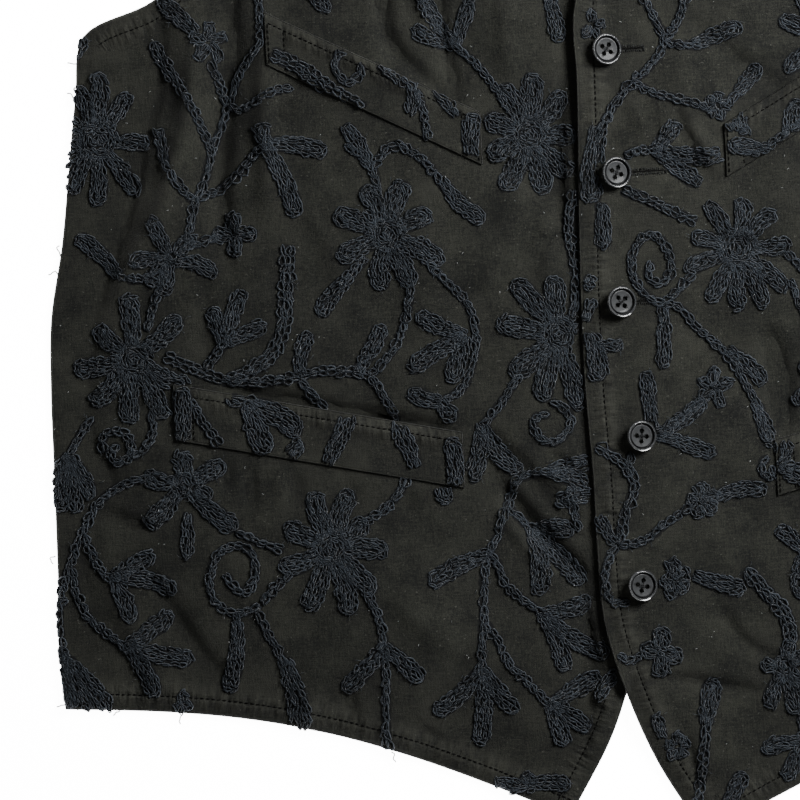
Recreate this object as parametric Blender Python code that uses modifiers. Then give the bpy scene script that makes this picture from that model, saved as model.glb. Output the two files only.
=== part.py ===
# Embroidered cotton waistcoat, buttoned left over right and laid flat on its back.
#
# Metres, +Z up. The floor is Z = 0, +Y runs up the garment to the neck and +X is
# the wearer's left. In the tables, in millimetres, "out" is a distance from the
# centre line towards a side seam, and "drop" is a distance down the garment from
# the points where the shoulder seams meet the neck.

import math
from collections import namedtuple

import bmesh
import bpy
import numpy as np
from mathutils import Matrix, Vector
from mathutils.bvhtree import BVHTree

MM = 0.001

# Cloth and seams
WALL = 1.2 * MM
WELT_WALL = 1.5 * MM  # a welt is folded, so its cloth is double
SEAM_GAP = 0.3 * MM
LAP_GAP = 0.6 * MM  # between the two fronts where they are buttoned

# How the garment lies
FRONT_RISE = 5.0 * MM  # how far the fronts stand off the back
SIDE_ROLL = 7  # power of the curve in which a front rolls down to its side seam
SHOULDER_FLAT = 30 * MM  # the fronts lie flat on the back above this drop
SHOULDER_SETTLE = 90 * MM  # and come up to their full height over this length
NECK_SETTLE = 45 * MM  # they come up over this width beside the neckline
NECK_SHARE = 0.35  # the share of the rise that is left at the neckline
HEM_SETTLE = 60 * MM
HEM_SHARE = 0.3
OFF_BACK_DROP = 566 * MM  # below this the points of the fronts leave the back's hem
OFF_BACK_LENGTH = 34 * MM
OVER_DROP = 12.5 * MM  # the buttoned left front lies this much lower at the closing
OVER_DROP_FROM = 246 * MM  # at this drop and below
UNDER_EXTENSION = 9 * MM  # the right front reaches this much further under the left
UNDER_FROM, UNDER_GROWS = 190 * MM, 70 * MM  # it starts at a drop, and widens over a length
UNDER_TO, UNDER_FADES = 515 * MM, 67 * MM
LAP_LEAD = 4 * MM  # the left front stays up this far past the right front's edge
LAP_SLOPE = 20 * MM  # and comes down over this width

# Grid of each panel
FRONT_COLUMNS = 18
FRONT_ROWS = 38
BACK_NECK_COLUMNS = 5  # on each side of the centre
BACK_SHOULDER_COLUMNS = 6
BACK_ROWS = 24
WELT_ROWS = 3
WELT_CELL = 8.5 * MM

# A row of the front panel runs from the shoulder, armhole or side seam to the
# neckline or front edge, and its middle hangs "belly" below the straight line.
FrontSection = namedtuple("FrontSection", "name side_out side_drop front_out front_drop belly")
FRONT_SECTIONS = [
    FrontSection("shoulder seam", 183, 42, 85, 0, 1),
    FrontSection("below the shoulder", 175, 74, 74.5, 32, 2),
    FrontSection("upper armhole", 170, 107, 62.5, 65, 3),
    FrontSection("middle armhole", 167, 140, 50, 98, 4),
    FrontSection("armhole hollow", 168, 172, 37, 131, 4),
    FrontSection("lower armhole", 175, 203, 24, 164, 3),
    FrontSection("armhole curve", 191, 232, 10.5, 197, 2),
    FrontSection("armhole base", 214, 251, -3, 229, 1),
    FrontSection("underarm", 246, 265, -11, 256, 0),
    FrontSection("chest", 252, 295, -11, 286, 0),
    FrontSection("below the chest", 257, 330, -12, 320, 0),
    FrontSection("above the waist", 262, 365, -13.5, 358, 0),
    FrontSection("waist", 269, 400, -14.5, 398, 0),
    FrontSection("below the waist", 271, 435, -14.5, 437, 0),
    FrontSection("hip pocket", 271.5, 470, -13, 476, 0),
    FrontSection("below the pocket", 272, 505, -12.8, 515, 0),
    FrontSection("start of the cutaway", 272.5, 535, -11, 548, -3),
    FrontSection("opening of the fronts", 273, 560, -2, 582, -7),
    FrontSection("lower cutaway", 273, 576, 12, 617, -10),
    FrontSection("hem", 272, 588, 32.5, 652, -15.5),
]

# Lines that the height of the fronts follows.
LinePoint = namedtuple("LinePoint", "out drop")
NECKLINE = [LinePoint(85, 0), LinePoint(-11, 246), LinePoint(-80, 300)]
HEM_LINE = [LinePoint(32.5, 652), LinePoint(165, 601), LinePoint(272, 588)]

# The back is a symmetric panel, and its rows are level but for the first and last.
BackSection = namedtuple("BackSection", "name out drop")
BACK_SECTIONS = [
    BackSection("shoulder tip", 183, 42),
    BackSection("upper armhole", 187, 75),
    BackSection("middle armhole", 189, 110),
    BackSection("armhole hollow", 190, 150),
    BackSection("lower armhole", 194, 188),
    BackSection("armhole curve", 200, 226),
    BackSection("armhole base", 213, 251),
    BackSection("underarm", 246, 265),
    BackSection("chest", 252, 295),
    BackSection("below the chest", 257, 330),
    BackSection("above the waist", 262, 365),
    BackSection("waist", 269, 400),
    BackSection("below the waist", 271, 435),
    BackSection("hip", 271.5, 470),
    BackSection("below the hip", 272, 505),
    BackSection("lower side", 272.5, 535),
    BackSection("above the hem", 273, 565),
    BackSection("hem", 272, 588),
]
NECK_OUT = 85 * MM
BACK_NECK_DROP = 22 * MM
BACK_HEM_HOLLOW = 13 * MM  # the back's hem is this much higher at the centre
NECK_COLUMNS_TO = 1 / 3  # the share of the back's length over which its columns even out
NECK_CURVE_TO = 1 / 2.2  # and over which its rows become level
HEM_CURVE_FROM = 1 / 2

# Soft folds of the two fronts, as straight troughs (rise below 0) or ridges.
Fold = namedtuple("Fold", "name x0 drop0 x1 drop1 rise width")
FRONT_FOLDS = [
    Fold("right armhole drag", -213, 272, -238, 372, -2.6, 13),
    Fold("right armhole ridge", -193, 268, -216, 352, 1.6, 15),
    Fold("right chest fold", -171, 238, -186, 362, -2.4, 12),
    Fold("right welt pull", -74, 262, -68, 300, -2.2, 12),
    Fold("right chest swell", -118, 300, -84, 372, 1.4, 30),
    Fold("right waist swell", -180, 400, -140, 420, 1.0, 26),
    Fold("right skirt swell", -150, 540, -90, 590, 1.5, 34),
    Fold("left armhole drag", 208, 285, 226, 380, -2.2, 14),
    Fold("left armhole ridge", 186, 262, 205, 350, 1.4, 16),
    Fold("left chest fold", 150, 232, 166, 300, -1.8, 14),
    Fold("left welt drag", 34, 348, 66, 356, -1.4, 11),
    Fold("left chest swell", 92, 372, 120, 400, 1.4, 28),
    Fold("left skirt swell", 96, 560, 150, 590, 1.6, 32),
    Fold("left side fold", 226, 440, 236, 548, -1.8, 16),
]

# A welt's ends are upright, so its height is measured down the garment.
Welt = namedtuple("Welt", "name outer_out inner_out outer_drop inner_drop height")
WELTS = [
    Welt("chest_welt", 159, 58.5, 259, 312, 25),
    Welt("hip_welt", 212, 75, 435, 465, 26.5),
]

# Buttons, from the top one down, with the turn of their holes in degrees.
ButtonPlace = namedtuple("ButtonPlace", "name x drop turn")
BUTTONS = [
    ButtonPlace("button_1", 3.3, 285.3, 12),
    ButtonPlace("button_2", 5.0, 344.5, 22),
    ButtonPlace("button_3", 4.2, 406.5, -8),
    ButtonPlace("button_4", 10.4, 471.2, 38),
    ButtonPlace("button_5", 7.1, 542.7, 30),
]
BUTTON_STEPS = 20
BUTTON_TILT = math.radians(20)  # a button leans on its +X edge
HOLE_RADIUS = 1.1 * MM
HOLE_SPREAD = 2.5 * MM  # from the button's axis
HOLE_SIDES = 8
PIN_LENGTH = 8 * MM  # of the cutter, from below the button to above it

# Down the outer side of a button's section, in millimetres. A button is 15 mm across.
ProfilePoint = namedtuple("ProfilePoint", "name radius height")
BUTTON_PROFILE = [
    ProfilePoint("centre of the dish", 0, 1.7),
    ProfilePoint("floor of the dish", 3.9, 1.7),
    ProfilePoint("inner rim", 5.0, 2.8),
    ProfilePoint("outer rim", 6.7, 2.8),
    ProfilePoint("upper edge", 7.5, 2.1),
    ProfilePoint("lower edge", 7.5, 1.2),
    ProfilePoint("foot", 5.2, 0),
    ProfilePoint("centre of the foot", 0, 0),
]

FOOT_RADIUS = BUTTON_PROFILE[-2].radius * MM
ABOVE_ALL = 1.0  # where a ray towards the floor starts

SIDES = {"right": -1, "left": 1}
OVER_SIDE = SIDES["left"]
WIDEST_OUT = max(row.side_out for row in FRONT_SECTIONS) * MM

Finish = namedtuple("Finish", "colour roughness metallic")
FINISHES = {
    "cloth": Finish((0.021, 0.022, 0.018), 0.9, 0.0),
    "button": Finish((0.012, 0.013, 0.014), 0.22, 0.0),
}


def smooth(share):
    """0 to 1 in an even S curve."""
    share = min(max(share, 0.0), 1.0)
    return share * share * (3 - 2 * share)


def through(values, place):
    """A smooth curve through a column of values, at a place from 0 to 1 along it."""
    last = len(values) - 1
    at = min(max(place, 0.0), 1.0) * last
    start = min(int(at), last - 1)
    share = at - start
    before, here, after, beyond = (
        values[min(max(start + step, 0), last)] for step in (-1, 0, 1, 2)
    )
    return 0.5 * (
        2 * here
        + (after - before) * share
        + (2 * before - 5 * here + 4 * after - beyond) * share**2
        + (3 * here - before - 3 * after + beyond) * share**3
    )


def column(rows, field):
    """One column of a table, in metres."""
    return [getattr(row, field) * MM for row in rows]


def settled(side, out, drop):
    """The drop of a point of a front once it is laid: the left front lies lower at the closing."""
    if side != OVER_SIDE:
        return drop
    share_out = min(abs(out) / WIDEST_OUT, 1.0)
    return drop + OVER_DROP * (1 - share_out**2) * smooth(drop / OVER_DROP_FROM)


def laid_length():
    point = FRONT_SECTIONS[-1]
    return settled(OVER_SIDE, point.front_out * MM, point.front_drop * MM)


TOP_Y = laid_length() / 2


def half_width(drop):
    """From the centre line to the front's armhole or side seam."""
    return np.interp(drop, column(FRONT_SECTIONS, "side_drop"), column(FRONT_SECTIONS, "side_out"))


def front_edge_outs(side):
    """The out of the neckline and front edge, for each section."""
    outs = []
    for row in FRONT_SECTIONS:
        begun = smooth((row.front_drop * MM - UNDER_FROM) / UNDER_GROWS)
        ended = smooth((row.front_drop * MM - UNDER_TO) / UNDER_FADES)
        extension = 0 if side == OVER_SIDE else UNDER_EXTENSION * begun * (1 - ended)
        outs.append(row.front_out * MM - extension)
    return outs


def under_edge_x(drop):
    """Where the right front ends, below the left one."""
    edge = front_edge_outs(-OVER_SIDE)
    return OVER_SIDE * -np.interp(drop, column(FRONT_SECTIONS, "front_drop"), edge)


def fold_rise(x, drop):
    """The sum of the soft folds at a point."""
    total = 0.0
    for fold in FRONT_FOLDS:
        start = Vector((fold.x0, fold.drop0)) * MM
        along = Vector((fold.x1, fold.drop1)) * MM - start
        share = (Vector((x, drop)) - start).dot(along) / along.length_squared
        nearest = start + along * min(max(share, 0.0), 1.0)
        away = (Vector((x, drop)) - nearest).length / (fold.width * MM)
        total += fold.rise * MM * math.exp(-away * away)
    return total


def lying_height(x, drop):
    """Height of a front's underside above the floor, before the lap is added."""
    side_share = min(abs(x) / half_width(drop), 1.0)
    off_side = 1 - side_share**SIDE_ROLL
    off_shoulder = smooth((drop - SHOULDER_FLAT) / SHOULDER_SETTLE)
    neckline = np.interp(drop, column(NECKLINE, "drop"), column(NECKLINE, "out"))
    off_neck = NECK_SHARE + (1 - NECK_SHARE) * smooth((abs(x) - neckline) / NECK_SETTLE)
    hem_drop = np.interp(abs(x), column(HEM_LINE, "out"), column(HEM_LINE, "drop"))
    off_hem = HEM_SHARE + (1 - HEM_SHARE) * smooth((hem_drop - drop) / HEM_SETTLE)
    on_back = 1 - smooth((drop - OFF_BACK_DROP) / OFF_BACK_LENGTH) * off_side
    rest = SEAM_GAP + WALL * on_back
    return rest + off_side * off_shoulder * off_neck * off_hem * (FRONT_RISE + fold_rise(x, drop))


def lap_rise(x, drop):
    """What the left front gains by lying on the right one."""
    past_edge = x - under_edge_x(drop) - LAP_LEAD
    return (WALL + LAP_GAP) * (1 - smooth(past_edge / LAP_SLOPE))


def front_place(side, edge_outs, across, down):
    """A point of a front's underside. Across runs from the side to the front edge, down from the shoulder to the hem."""
    side_out = through(column(FRONT_SECTIONS, "side_out"), down)
    side_drop = through(column(FRONT_SECTIONS, "side_drop"), down)
    edge_out = through(edge_outs, down)
    edge_drop = through(column(FRONT_SECTIONS, "front_drop"), down)
    belly = through(column(FRONT_SECTIONS, "belly"), down) * math.sin(math.pi * across)
    out = side_out + (edge_out - side_out) * across
    drop = settled(side, out, side_drop + (edge_drop - side_drop) * across + belly)
    x = side * out
    z = lying_height(x, drop)
    if side == OVER_SIDE:
        z += lap_rise(x, drop)
    return Vector((x, TOP_Y - drop, z))


def back_place(across, down):
    """A point of the back's underside. Across runs from -1 to 1 between the sides."""
    columns = BACK_NECK_COLUMNS + BACK_SHOULDER_COLUMNS
    neck_column = BACK_NECK_COLUMNS / columns
    tip = BACK_SECTIONS[0]
    neck_share = NECK_OUT / (tip.out * MM)
    share = np.interp(abs(across), [0, neck_column, 1], [0, neck_share, 1])
    even_share = abs(across) + (share - abs(across)) * (1 - smooth(down / NECK_COLUMNS_TO))
    half = through(column(BACK_SECTIONS, "out"), down)
    drop = through(column(BACK_SECTIONS, "drop"), down)
    neck_curve = BACK_NECK_DROP * (1 - (min(share / neck_share, 1.0)) ** 2)
    shoulder_line = tip.drop * MM * max(share - neck_share, 0.0) / (1 - neck_share)
    top_edge = neck_curve + shoulder_line - tip.drop * MM
    hem_edge = -BACK_HEM_HOLLOW * (1 - even_share**2)
    drop += top_edge * (1 - smooth(down / NECK_CURVE_TO))
    drop += hem_edge * smooth((down - HEM_CURVE_FROM) / (1 - HEM_CURVE_FROM))
    return Vector((math.copysign(half * even_share, across), TOP_Y - drop, 0.0))


def material(name):
    finish = FINISHES[name]
    made = bpy.data.materials.new(name)
    made.use_nodes = True
    shader = made.node_tree.nodes["Principled BSDF"]
    shader.inputs["Base Color"].default_value = (*finish.colour, 1.0)
    shader.inputs["Roughness"].default_value = finish.roughness
    shader.inputs["Metallic"].default_value = finish.metallic
    return made


def cloth_panel(name, columns, rows, place, wall, finish, collection):
    """An open grid that place() lays out, from (0, 0) at its lower left to (1, 1), given a wall upwards."""
    grid = bmesh.new()
    bmesh.ops.create_grid(grid, x_segments=columns, y_segments=rows, size=0.5)
    for corner in grid.verts:
        corner.co = place(corner.co.x + 0.5, corner.co.y + 0.5)
    mesh = bpy.data.meshes.new(name)
    grid.to_mesh(mesh)
    grid.free()
    mesh.materials.append(finish)
    mesh.shade_smooth()
    panel = bpy.data.objects.new(name, mesh)
    collection.objects.link(panel)
    solidify = panel.modifiers.new("wall", "SOLIDIFY")
    solidify.thickness = wall
    solidify.offset = 1
    solidify.use_even_offset = True
    return panel


def make_back(finish, collection):
    columns = 2 * (BACK_NECK_COLUMNS + BACK_SHOULDER_COLUMNS)

    def place(u, v):
        return back_place(2 * u - 1, 1 - v)

    return cloth_panel("back", columns, BACK_ROWS, place, WALL, finish, collection)


def make_front(name, side, finish, collection):
    edge_outs = front_edge_outs(side)

    def place(u, v):
        across = u if side < 0 else 1 - u
        return front_place(side, edge_outs, across, 1 - v)

    return cloth_panel(name, FRONT_COLUMNS, FRONT_ROWS, place, WALL, finish, collection)


def surface_of(panel):
    """The panel as it is with its wall, for finding its upper face."""
    bpy.context.view_layer.update()
    return BVHTree.FromObject(panel, bpy.context.evaluated_depsgraph_get())


def top_height(surface, x, y, reach):
    """The highest point of a surface at a place and on a ring round it."""
    ring = [(0.0, 0.0)]
    ring += [(reach * math.cos(turn), reach * math.sin(turn)) for turn in np.arange(8) * math.pi / 4]
    heights = []
    for step_x, step_y in ring:
        hit = surface.ray_cast(Vector((x + step_x, y + step_y, ABOVE_ALL)), Vector((0, 0, -1)))[0]
        if hit:
            heights.append(hit.z)
    return max(heights)


def make_welt(welt, side_name, front, finish, collection):
    side = SIDES[side_name]
    surface = surface_of(front)
    length = (welt.outer_out - welt.inner_out) * MM
    columns = math.ceil(length / WELT_CELL)

    def place(u, v):
        to_inner = u if side < 0 else 1 - u
        out = (welt.outer_out + (welt.inner_out - welt.outer_out) * to_inner) * MM
        top = welt.outer_drop + (welt.inner_drop - welt.outer_drop) * to_inner
        drop = settled(side, out, (top + welt.height * (1 - v)) * MM)
        x, y = side * out, TOP_Y - drop
        return Vector((x, y, top_height(surface, x, y, WELT_CELL / 3) + SEAM_GAP))

    name = f"{welt.name}_{side_name}"
    return cloth_panel(name, columns, WELT_ROWS, place, WELT_WALL, finish, collection)


def button_body():
    """The button's section, turned about its axis."""
    mesh = bpy.data.meshes.new("button section")
    points = [(point.radius * MM, 0, point.height * MM) for point in BUTTON_PROFILE]
    mesh.from_pydata(points, [(i, i + 1) for i in range(len(points) - 1)], [])
    body = bpy.data.objects.new("button section", mesh)
    turned = body.modifiers.new("turned", "SCREW")
    turned.steps = turned.render_steps = BUTTON_STEPS
    turned.use_merge_vertices = True
    turned.merge_threshold = 0.01 * MM
    return body


def hole_cutter():
    """Four round pins in a square, longer than the button is thick."""
    pins = bmesh.new()
    for quarter in range(4):
        turn = Matrix.Rotation(math.radians(90 * quarter + 45), 4, "Z")
        bmesh.ops.create_cone(
            pins, cap_ends=True, segments=HOLE_SIDES, radius1=HOLE_RADIUS, radius2=HOLE_RADIUS,
            depth=PIN_LENGTH, matrix=turn @ Matrix.Translation((HOLE_SPREAD, 0, 0)),
        )
    mesh = bpy.data.meshes.new("button holes")
    pins.to_mesh(mesh)
    pins.free()
    cutter = bpy.data.objects.new("button holes", mesh)
    cutter.hide_render = True
    cutter.display_type = "WIRE"
    return cutter


def button_mesh(finish, collection):
    """The drilled button as one mesh, which the five buttons share."""
    body, cutter = button_body(), hole_cutter()
    for helper in (body, cutter):
        collection.objects.link(helper)
    drilled = body.modifiers.new("holes", "BOOLEAN")
    drilled.object = cutter
    bpy.context.view_layer.update()
    graph = bpy.context.evaluated_depsgraph_get()
    mesh = bpy.data.meshes.new_from_object(body.evaluated_get(graph))
    for helper in (body, cutter):
        bpy.data.objects.remove(helper)
    mesh.name = "button"
    mesh.materials.clear()
    mesh.materials.append(finish)
    mesh.shade_smooth()
    mesh.set_sharp_from_angle(angle=math.radians(40))
    return mesh


def make_buttons(front, finish, collection):
    mesh = button_mesh(finish, collection)
    surface = surface_of(front)
    for place in BUTTONS:
        button = bpy.data.objects.new(place.name, mesh)
        x, y = place.x * MM, TOP_Y - place.drop * MM
        seat = top_height(surface, x, y, FOOT_RADIUS)
        lift = FOOT_RADIUS * math.sin(BUTTON_TILT)
        turned = Matrix.Rotation(math.radians(place.turn), 4, "Z")
        tilted = Matrix.Rotation(BUTTON_TILT, 4, "Y")
        button.matrix_world = Matrix.Translation((x, y, seat + SEAM_GAP + lift)) @ tilted @ turned
        collection.objects.link(button)


def main():
    for old in list(bpy.data.objects):
        bpy.data.objects.remove(old)
    waistcoat = bpy.data.collections.new("embroidered waistcoat")
    bpy.context.scene.collection.children.link(waistcoat)
    cloth, horn = material("cloth"), material("button")
    make_back(cloth, waistcoat)
    fronts = {}
    for side_name, side in SIDES.items():
        fronts[side_name] = make_front(f"front_{side_name}", side, cloth, waistcoat)
    for welt in WELTS:
        for side_name, front in fronts.items():
            make_welt(welt, side_name, front, cloth, waistcoat)
    make_buttons(fronts["left"], horn, waistcoat)


main()
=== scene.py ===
# Looks of an embroidered waistcoat that lies flat on its back, dressed round its solids.
# Metres. The floor is Z = 0, +Y runs up the garment to the neck and +X is the wearer's left.
import math

import bpy
import numpy as np
from mathutils import Matrix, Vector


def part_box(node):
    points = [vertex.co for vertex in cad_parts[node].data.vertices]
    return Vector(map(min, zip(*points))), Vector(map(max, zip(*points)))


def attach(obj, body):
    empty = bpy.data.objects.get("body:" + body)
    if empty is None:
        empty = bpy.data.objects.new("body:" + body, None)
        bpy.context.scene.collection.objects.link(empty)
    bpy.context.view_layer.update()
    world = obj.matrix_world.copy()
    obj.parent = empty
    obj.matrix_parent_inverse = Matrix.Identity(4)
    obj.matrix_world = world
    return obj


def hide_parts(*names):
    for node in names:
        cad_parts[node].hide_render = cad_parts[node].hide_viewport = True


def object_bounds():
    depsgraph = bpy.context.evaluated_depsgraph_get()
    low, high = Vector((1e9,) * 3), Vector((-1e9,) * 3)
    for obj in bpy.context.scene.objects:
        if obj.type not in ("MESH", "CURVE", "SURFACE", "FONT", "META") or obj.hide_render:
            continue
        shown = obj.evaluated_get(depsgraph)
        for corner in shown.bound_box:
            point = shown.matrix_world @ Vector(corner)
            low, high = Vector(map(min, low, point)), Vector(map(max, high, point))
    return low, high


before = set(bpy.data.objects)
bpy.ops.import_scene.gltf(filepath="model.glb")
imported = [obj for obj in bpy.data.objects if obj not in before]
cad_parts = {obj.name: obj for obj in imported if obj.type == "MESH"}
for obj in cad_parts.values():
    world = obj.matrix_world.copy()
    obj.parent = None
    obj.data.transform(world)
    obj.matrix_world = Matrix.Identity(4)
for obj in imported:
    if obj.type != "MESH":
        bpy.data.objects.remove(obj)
cadBox = [list(corner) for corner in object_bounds()]
mm = 0.001
tau = 2 * math.pi
chance = np.random.default_rng(11)
topY = cadBox[1][1]  # where the shoulder seams meet the neck
underSide, overSide = -1, 1  # the wearer's right front lies under the left one

# The photograph's frame on the garment's plane. Places below are read in its pixels.
photo = {
    "pixel": 0.48 * mm,  # of cloth
    "side": 800,
    "centreLine": 595.5,  # where the garment's centre line meets the frame's upper edge
    "edgeDrop": 261.1 * mm,  # how far down from the shoulders that is
    "lean": math.radians(3),
}


def placed(x, y):
    # frame pixels to garment plane: turned by the lean about the centre line, then scaled
    across, down = np.asarray(x, float) - photo["centreLine"], np.asarray(y, float)
    cosine, sine = math.cos(photo["lean"]), math.sin(photo["lean"])
    planeX = photo["pixel"] * (cosine * across - sine * down)
    drop = photo["edgeDrop"] + photo["pixel"] * (sine * across + cosine * down)
    return planeX, topY - drop


# Camera, light and floor

studio = {
    "cameraHeight": 1.9,
    "sensor": 36.0,
    "clothHeight": 8 * mm,
    "keyPlace": (0.64, 0.40, 0.73),
    "keySize": 0.46,
    "keyPower": 54.0,
    "fillPlace": (-0.3, -1.5, 1.3),
    "fillSize": 1.2,
    "fillPower": 6.0,
    "skyStrength": (0.21, 1.5),  # overhead, and what the horizon adds on the key's side
    "floorGlow": 14.0,
    "floorSide": 6.0,
    "floorColour": (0.93, 0.93, 0.925),
}


def makeCamera():
    # straight down on the middle of the frame, turned with the garment's lean
    data = bpy.data.cameras.new("camera")
    camera = bpy.data.objects.new("camera", data)
    bpy.context.scene.collection.objects.link(camera)
    middleX, middleY = placed(photo["side"] / 2, photo["side"] / 2)
    camera.location = (middleX, middleY, studio["cameraHeight"])
    camera.rotation_euler = (0, 0, -photo["lean"])
    viewWidth = photo["side"] * photo["pixel"]
    data.sensor_width = studio["sensor"]
    data.lens = studio["sensor"] * (studio["cameraHeight"] - studio["clothHeight"]) / viewWidth
    bpy.context.scene.camera = camera


def makeLight(name, place, size, power):
    # a square soft box that faces the garment's middle
    data = bpy.data.lights.new(name, "AREA")
    data.shape = "SQUARE"
    data.size = size
    data.energy = power
    lamp = bpy.data.objects.new(name, data)
    bpy.context.scene.collection.objects.link(lamp)
    lamp.location = place
    lamp.rotation_euler = lamp.location.to_track_quat("Z", "Y").to_euler()


def makeStudio():
    # a pale level floor, a key light from the upper right, a weak fill and a sky that pales downward
    makeCamera()
    makeLight("key", studio["keyPlace"], studio["keySize"], studio["keyPower"])
    makeLight("fill", studio["fillPlace"], studio["fillSize"], studio["fillPower"])
    world = bpy.data.worlds.new("sky")
    world.use_nodes = True
    sky = Finish(world)
    east, north, rise = sky.split(sky.node("ShaderNodeTexCoord"))
    overhead, horizon = studio["skyStrength"]
    low = 1.0 - rise.limited(0.0, 1.0)
    keySide = (east * 0.5 + north * 0.3 + 0.45).limited(0.0, 1.0)
    sky.feed(sky.shader.inputs["Strength"], low * low * keySide * horizon + overhead)
    sky.feed(sky.shader.inputs["Color"], (1, 1, 1, 1))
    bpy.context.scene.world = world
    half = studio["floorSide"] / 2
    corners = np.array([(-half, -half, 0), (half, -half, 0), (half, half, 0), (-half, half, 0)])
    floor = bpy.data.objects.new("floor", meshFrom("floor", corners, np.array([[0, 1, 2, 3]])))
    bpy.context.scene.collection.objects.link(floor)
    floor.data.materials.append(floorFinish())


# Shader tools


class Value:  # a socket of a finish, for writing shader maths as sums
    def __init__(self, finish, socket):
        self.finish = finish
        self.socket = socket

    def maths(self, operation, first, second=None):
        return self.finish.node("ShaderNodeMath", {"operation": operation}, {0: first, 1: second})

    def __add__(self, other):
        return self.maths("ADD", self, other)

    def __radd__(self, other):
        return self.maths("ADD", other, self)

    def __sub__(self, other):
        return self.maths("SUBTRACT", self, other)

    def __rsub__(self, other):
        return self.maths("SUBTRACT", other, self)

    def __mul__(self, other):
        return self.maths("MULTIPLY", self, other)

    def __rmul__(self, other):
        return self.maths("MULTIPLY", other, self)

    def sine(self):
        return self.maths("SINE", self)

    def limited(self, low, high):
        return self.finish.node("ShaderNodeClamp", None, {"Value": self, "Min": low, "Max": high})


class Finish:  # the shader and nodes of a material, made here, or of a given world
    def __init__(self, owner, constants=None):
        if isinstance(owner, str):
            owner = bpy.data.materials.new(owner)
            owner.use_nodes = True
        self.material = owner
        self.tree = owner.node_tree
        kinds = ("BSDF_PRINCIPLED", "BACKGROUND")
        self.shader = next(node for node in self.tree.nodes if node.type in kinds)
        for socket, value in (constants or {}).items():
            self.feed(self.shader.inputs[socket], value)

    def feed(self, socket, value):
        if isinstance(value, Value):
            self.tree.links.new(value.socket, socket)
        elif value is not None:
            short = socket.type == "RGBA" and len(value) == 3
            socket.default_value = (*value, 1) if short else value

    def node(self, kind, settings=None, inputs=None, output=0):
        made = self.tree.nodes.new(kind)
        for name, value in (settings or {}).items():
            setattr(made, name, value)
        for name, value in (inputs or {}).items():
            self.feed(made.inputs[name], value)
        return Value(self, made.outputs[output])

    def mix(self, share, first, second):
        return self.node("ShaderNodeMix", {"data_type": "RGBA"}, {0: share, 6: first, 7: second}, 2)

    def noise(self, place, scale, detail=2.0):
        inputs = {"Vector": place, "Scale": scale, "Detail": detail}
        return self.node("ShaderNodeTexNoise", None, inputs)

    def stretchedNoise(self, place, scale):
        stretched = self.node("ShaderNodeMapping", None, {"Vector": place, "Scale": scale})
        return self.noise(stretched, 1.0)

    def attribute(self, name, output):
        return self.node("ShaderNodeAttribute", {"attribute_name": name}, None, output)

    def split(self, vector):
        return [self.node("ShaderNodeSeparateXYZ", None, {0: vector}, index) for index in range(3)]

    def objectPlace(self):
        return self.node("ShaderNodeTexCoord", None, None, 3)

    def surface(self, **values):
        for name, value in values.items():
            self.feed(self.shader.inputs[name.replace("_", " ")], value)

    def bump(self, height):
        inputs = {"Height": height, "Distance": 1.0, "Strength": 1.0}
        self.feed(self.shader.inputs["Normal"], self.node("ShaderNodeBump", None, inputs))


def floorFinish():
    # matt white that glows brightly, so that it comes out as a plain white ground
    constants = {"Roughness": 0.9, "Base Color": studio["floorColour"]}
    constants |= {"Emission Color": (1, 1, 1), "Emission Strength": studio["floorGlow"]}
    finish = Finish("studio floor", constants)
    return finish.material


clothLook = {
    "dark": (0.0018, 0.0020, 0.0018),
    "light": (0.0112, 0.0116, 0.0091),
    "worn": (0.0150, 0.0152, 0.0116),  # on the ridges along the seams
    "lint": (0.040, 0.040, 0.034),
    "threadPitch": 0.42 * mm,
    "warpScale": (1300, 210, 1300),
    "weftScale": (210, 1300, 1300),
    "mottle": (55.0, 1.7),  # scale, and weight in the shade
    "grain": (1700.0, 2.1),
    "speckScale": 900.0,
    "wornMost": 0.25,
    "weaveDepth": 0.03 * mm,
    "slubDepth": 0.16 * mm,
    "grainDepth": 0.12 * mm,
    "puckerDepth": 2.8 * mm,
    "puckerScale": 0.27,
}


def clothFinish():
    # dark washed cotton: a plain weave, slubs both ways, mottling, lint, and paler puckers at the seams
    constants = {"Roughness": 0.9, "Specular IOR Level": 0.12, "Sheen Weight": 0.02, "Sheen Roughness": 0.5}
    finish = Finish("cloth", constants)
    place = finish.objectPlace()
    x, y, _ = finish.split(place)
    count = tau / clothLook["threadPitch"]
    weave = (x * count).sine() * (y * count).sine()
    warpSlubs = finish.stretchedNoise(place, clothLook["warpScale"])
    slubs = warpSlubs + finish.stretchedNoise(place, clothLook["weftScale"])
    mottleScale, mottleWeight = clothLook["mottle"]
    grainScale, grainWeight = clothLook["grain"]
    mottle = finish.noise(place, mottleScale, 4.0)
    grain = finish.noise(place, grainScale, 2.0)
    uneven = (mottle - 0.5) * mottleWeight + (grain - 0.5) * grainWeight
    shade = (slubs - 1.0 + uneven + 0.5).limited(0.0, 1.0)
    colour = finish.mix(shade, clothLook["dark"], clothLook["light"])
    wear = finish.attribute("seamWear", 2)
    ripples = finish.noise(finish.attribute("seamPlace", 1), clothLook["puckerScale"], 1.5)
    rubbed = (wear * (ripples * 3.0 - 1.2)).limited(0.0, clothLook["wornMost"])
    colour = finish.mix(rubbed, colour, clothLook["worn"])
    specks = (finish.noise(place, clothLook["speckScale"], 1.0) * 9.0 - 6.3).limited(0.0, 1.0)
    colour = finish.mix(specks * 0.8, colour, clothLook["lint"])
    finish.surface(Base_Color=colour, Roughness=0.94 - wear * 0.08)
    relief = weave * clothLook["weaveDepth"] + ripples * wear * clothLook["puckerDepth"]
    finish.bump(relief + slubs * clothLook["slubDepth"] + grain * clothLook["grainDepth"])
    return finish.material


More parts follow.
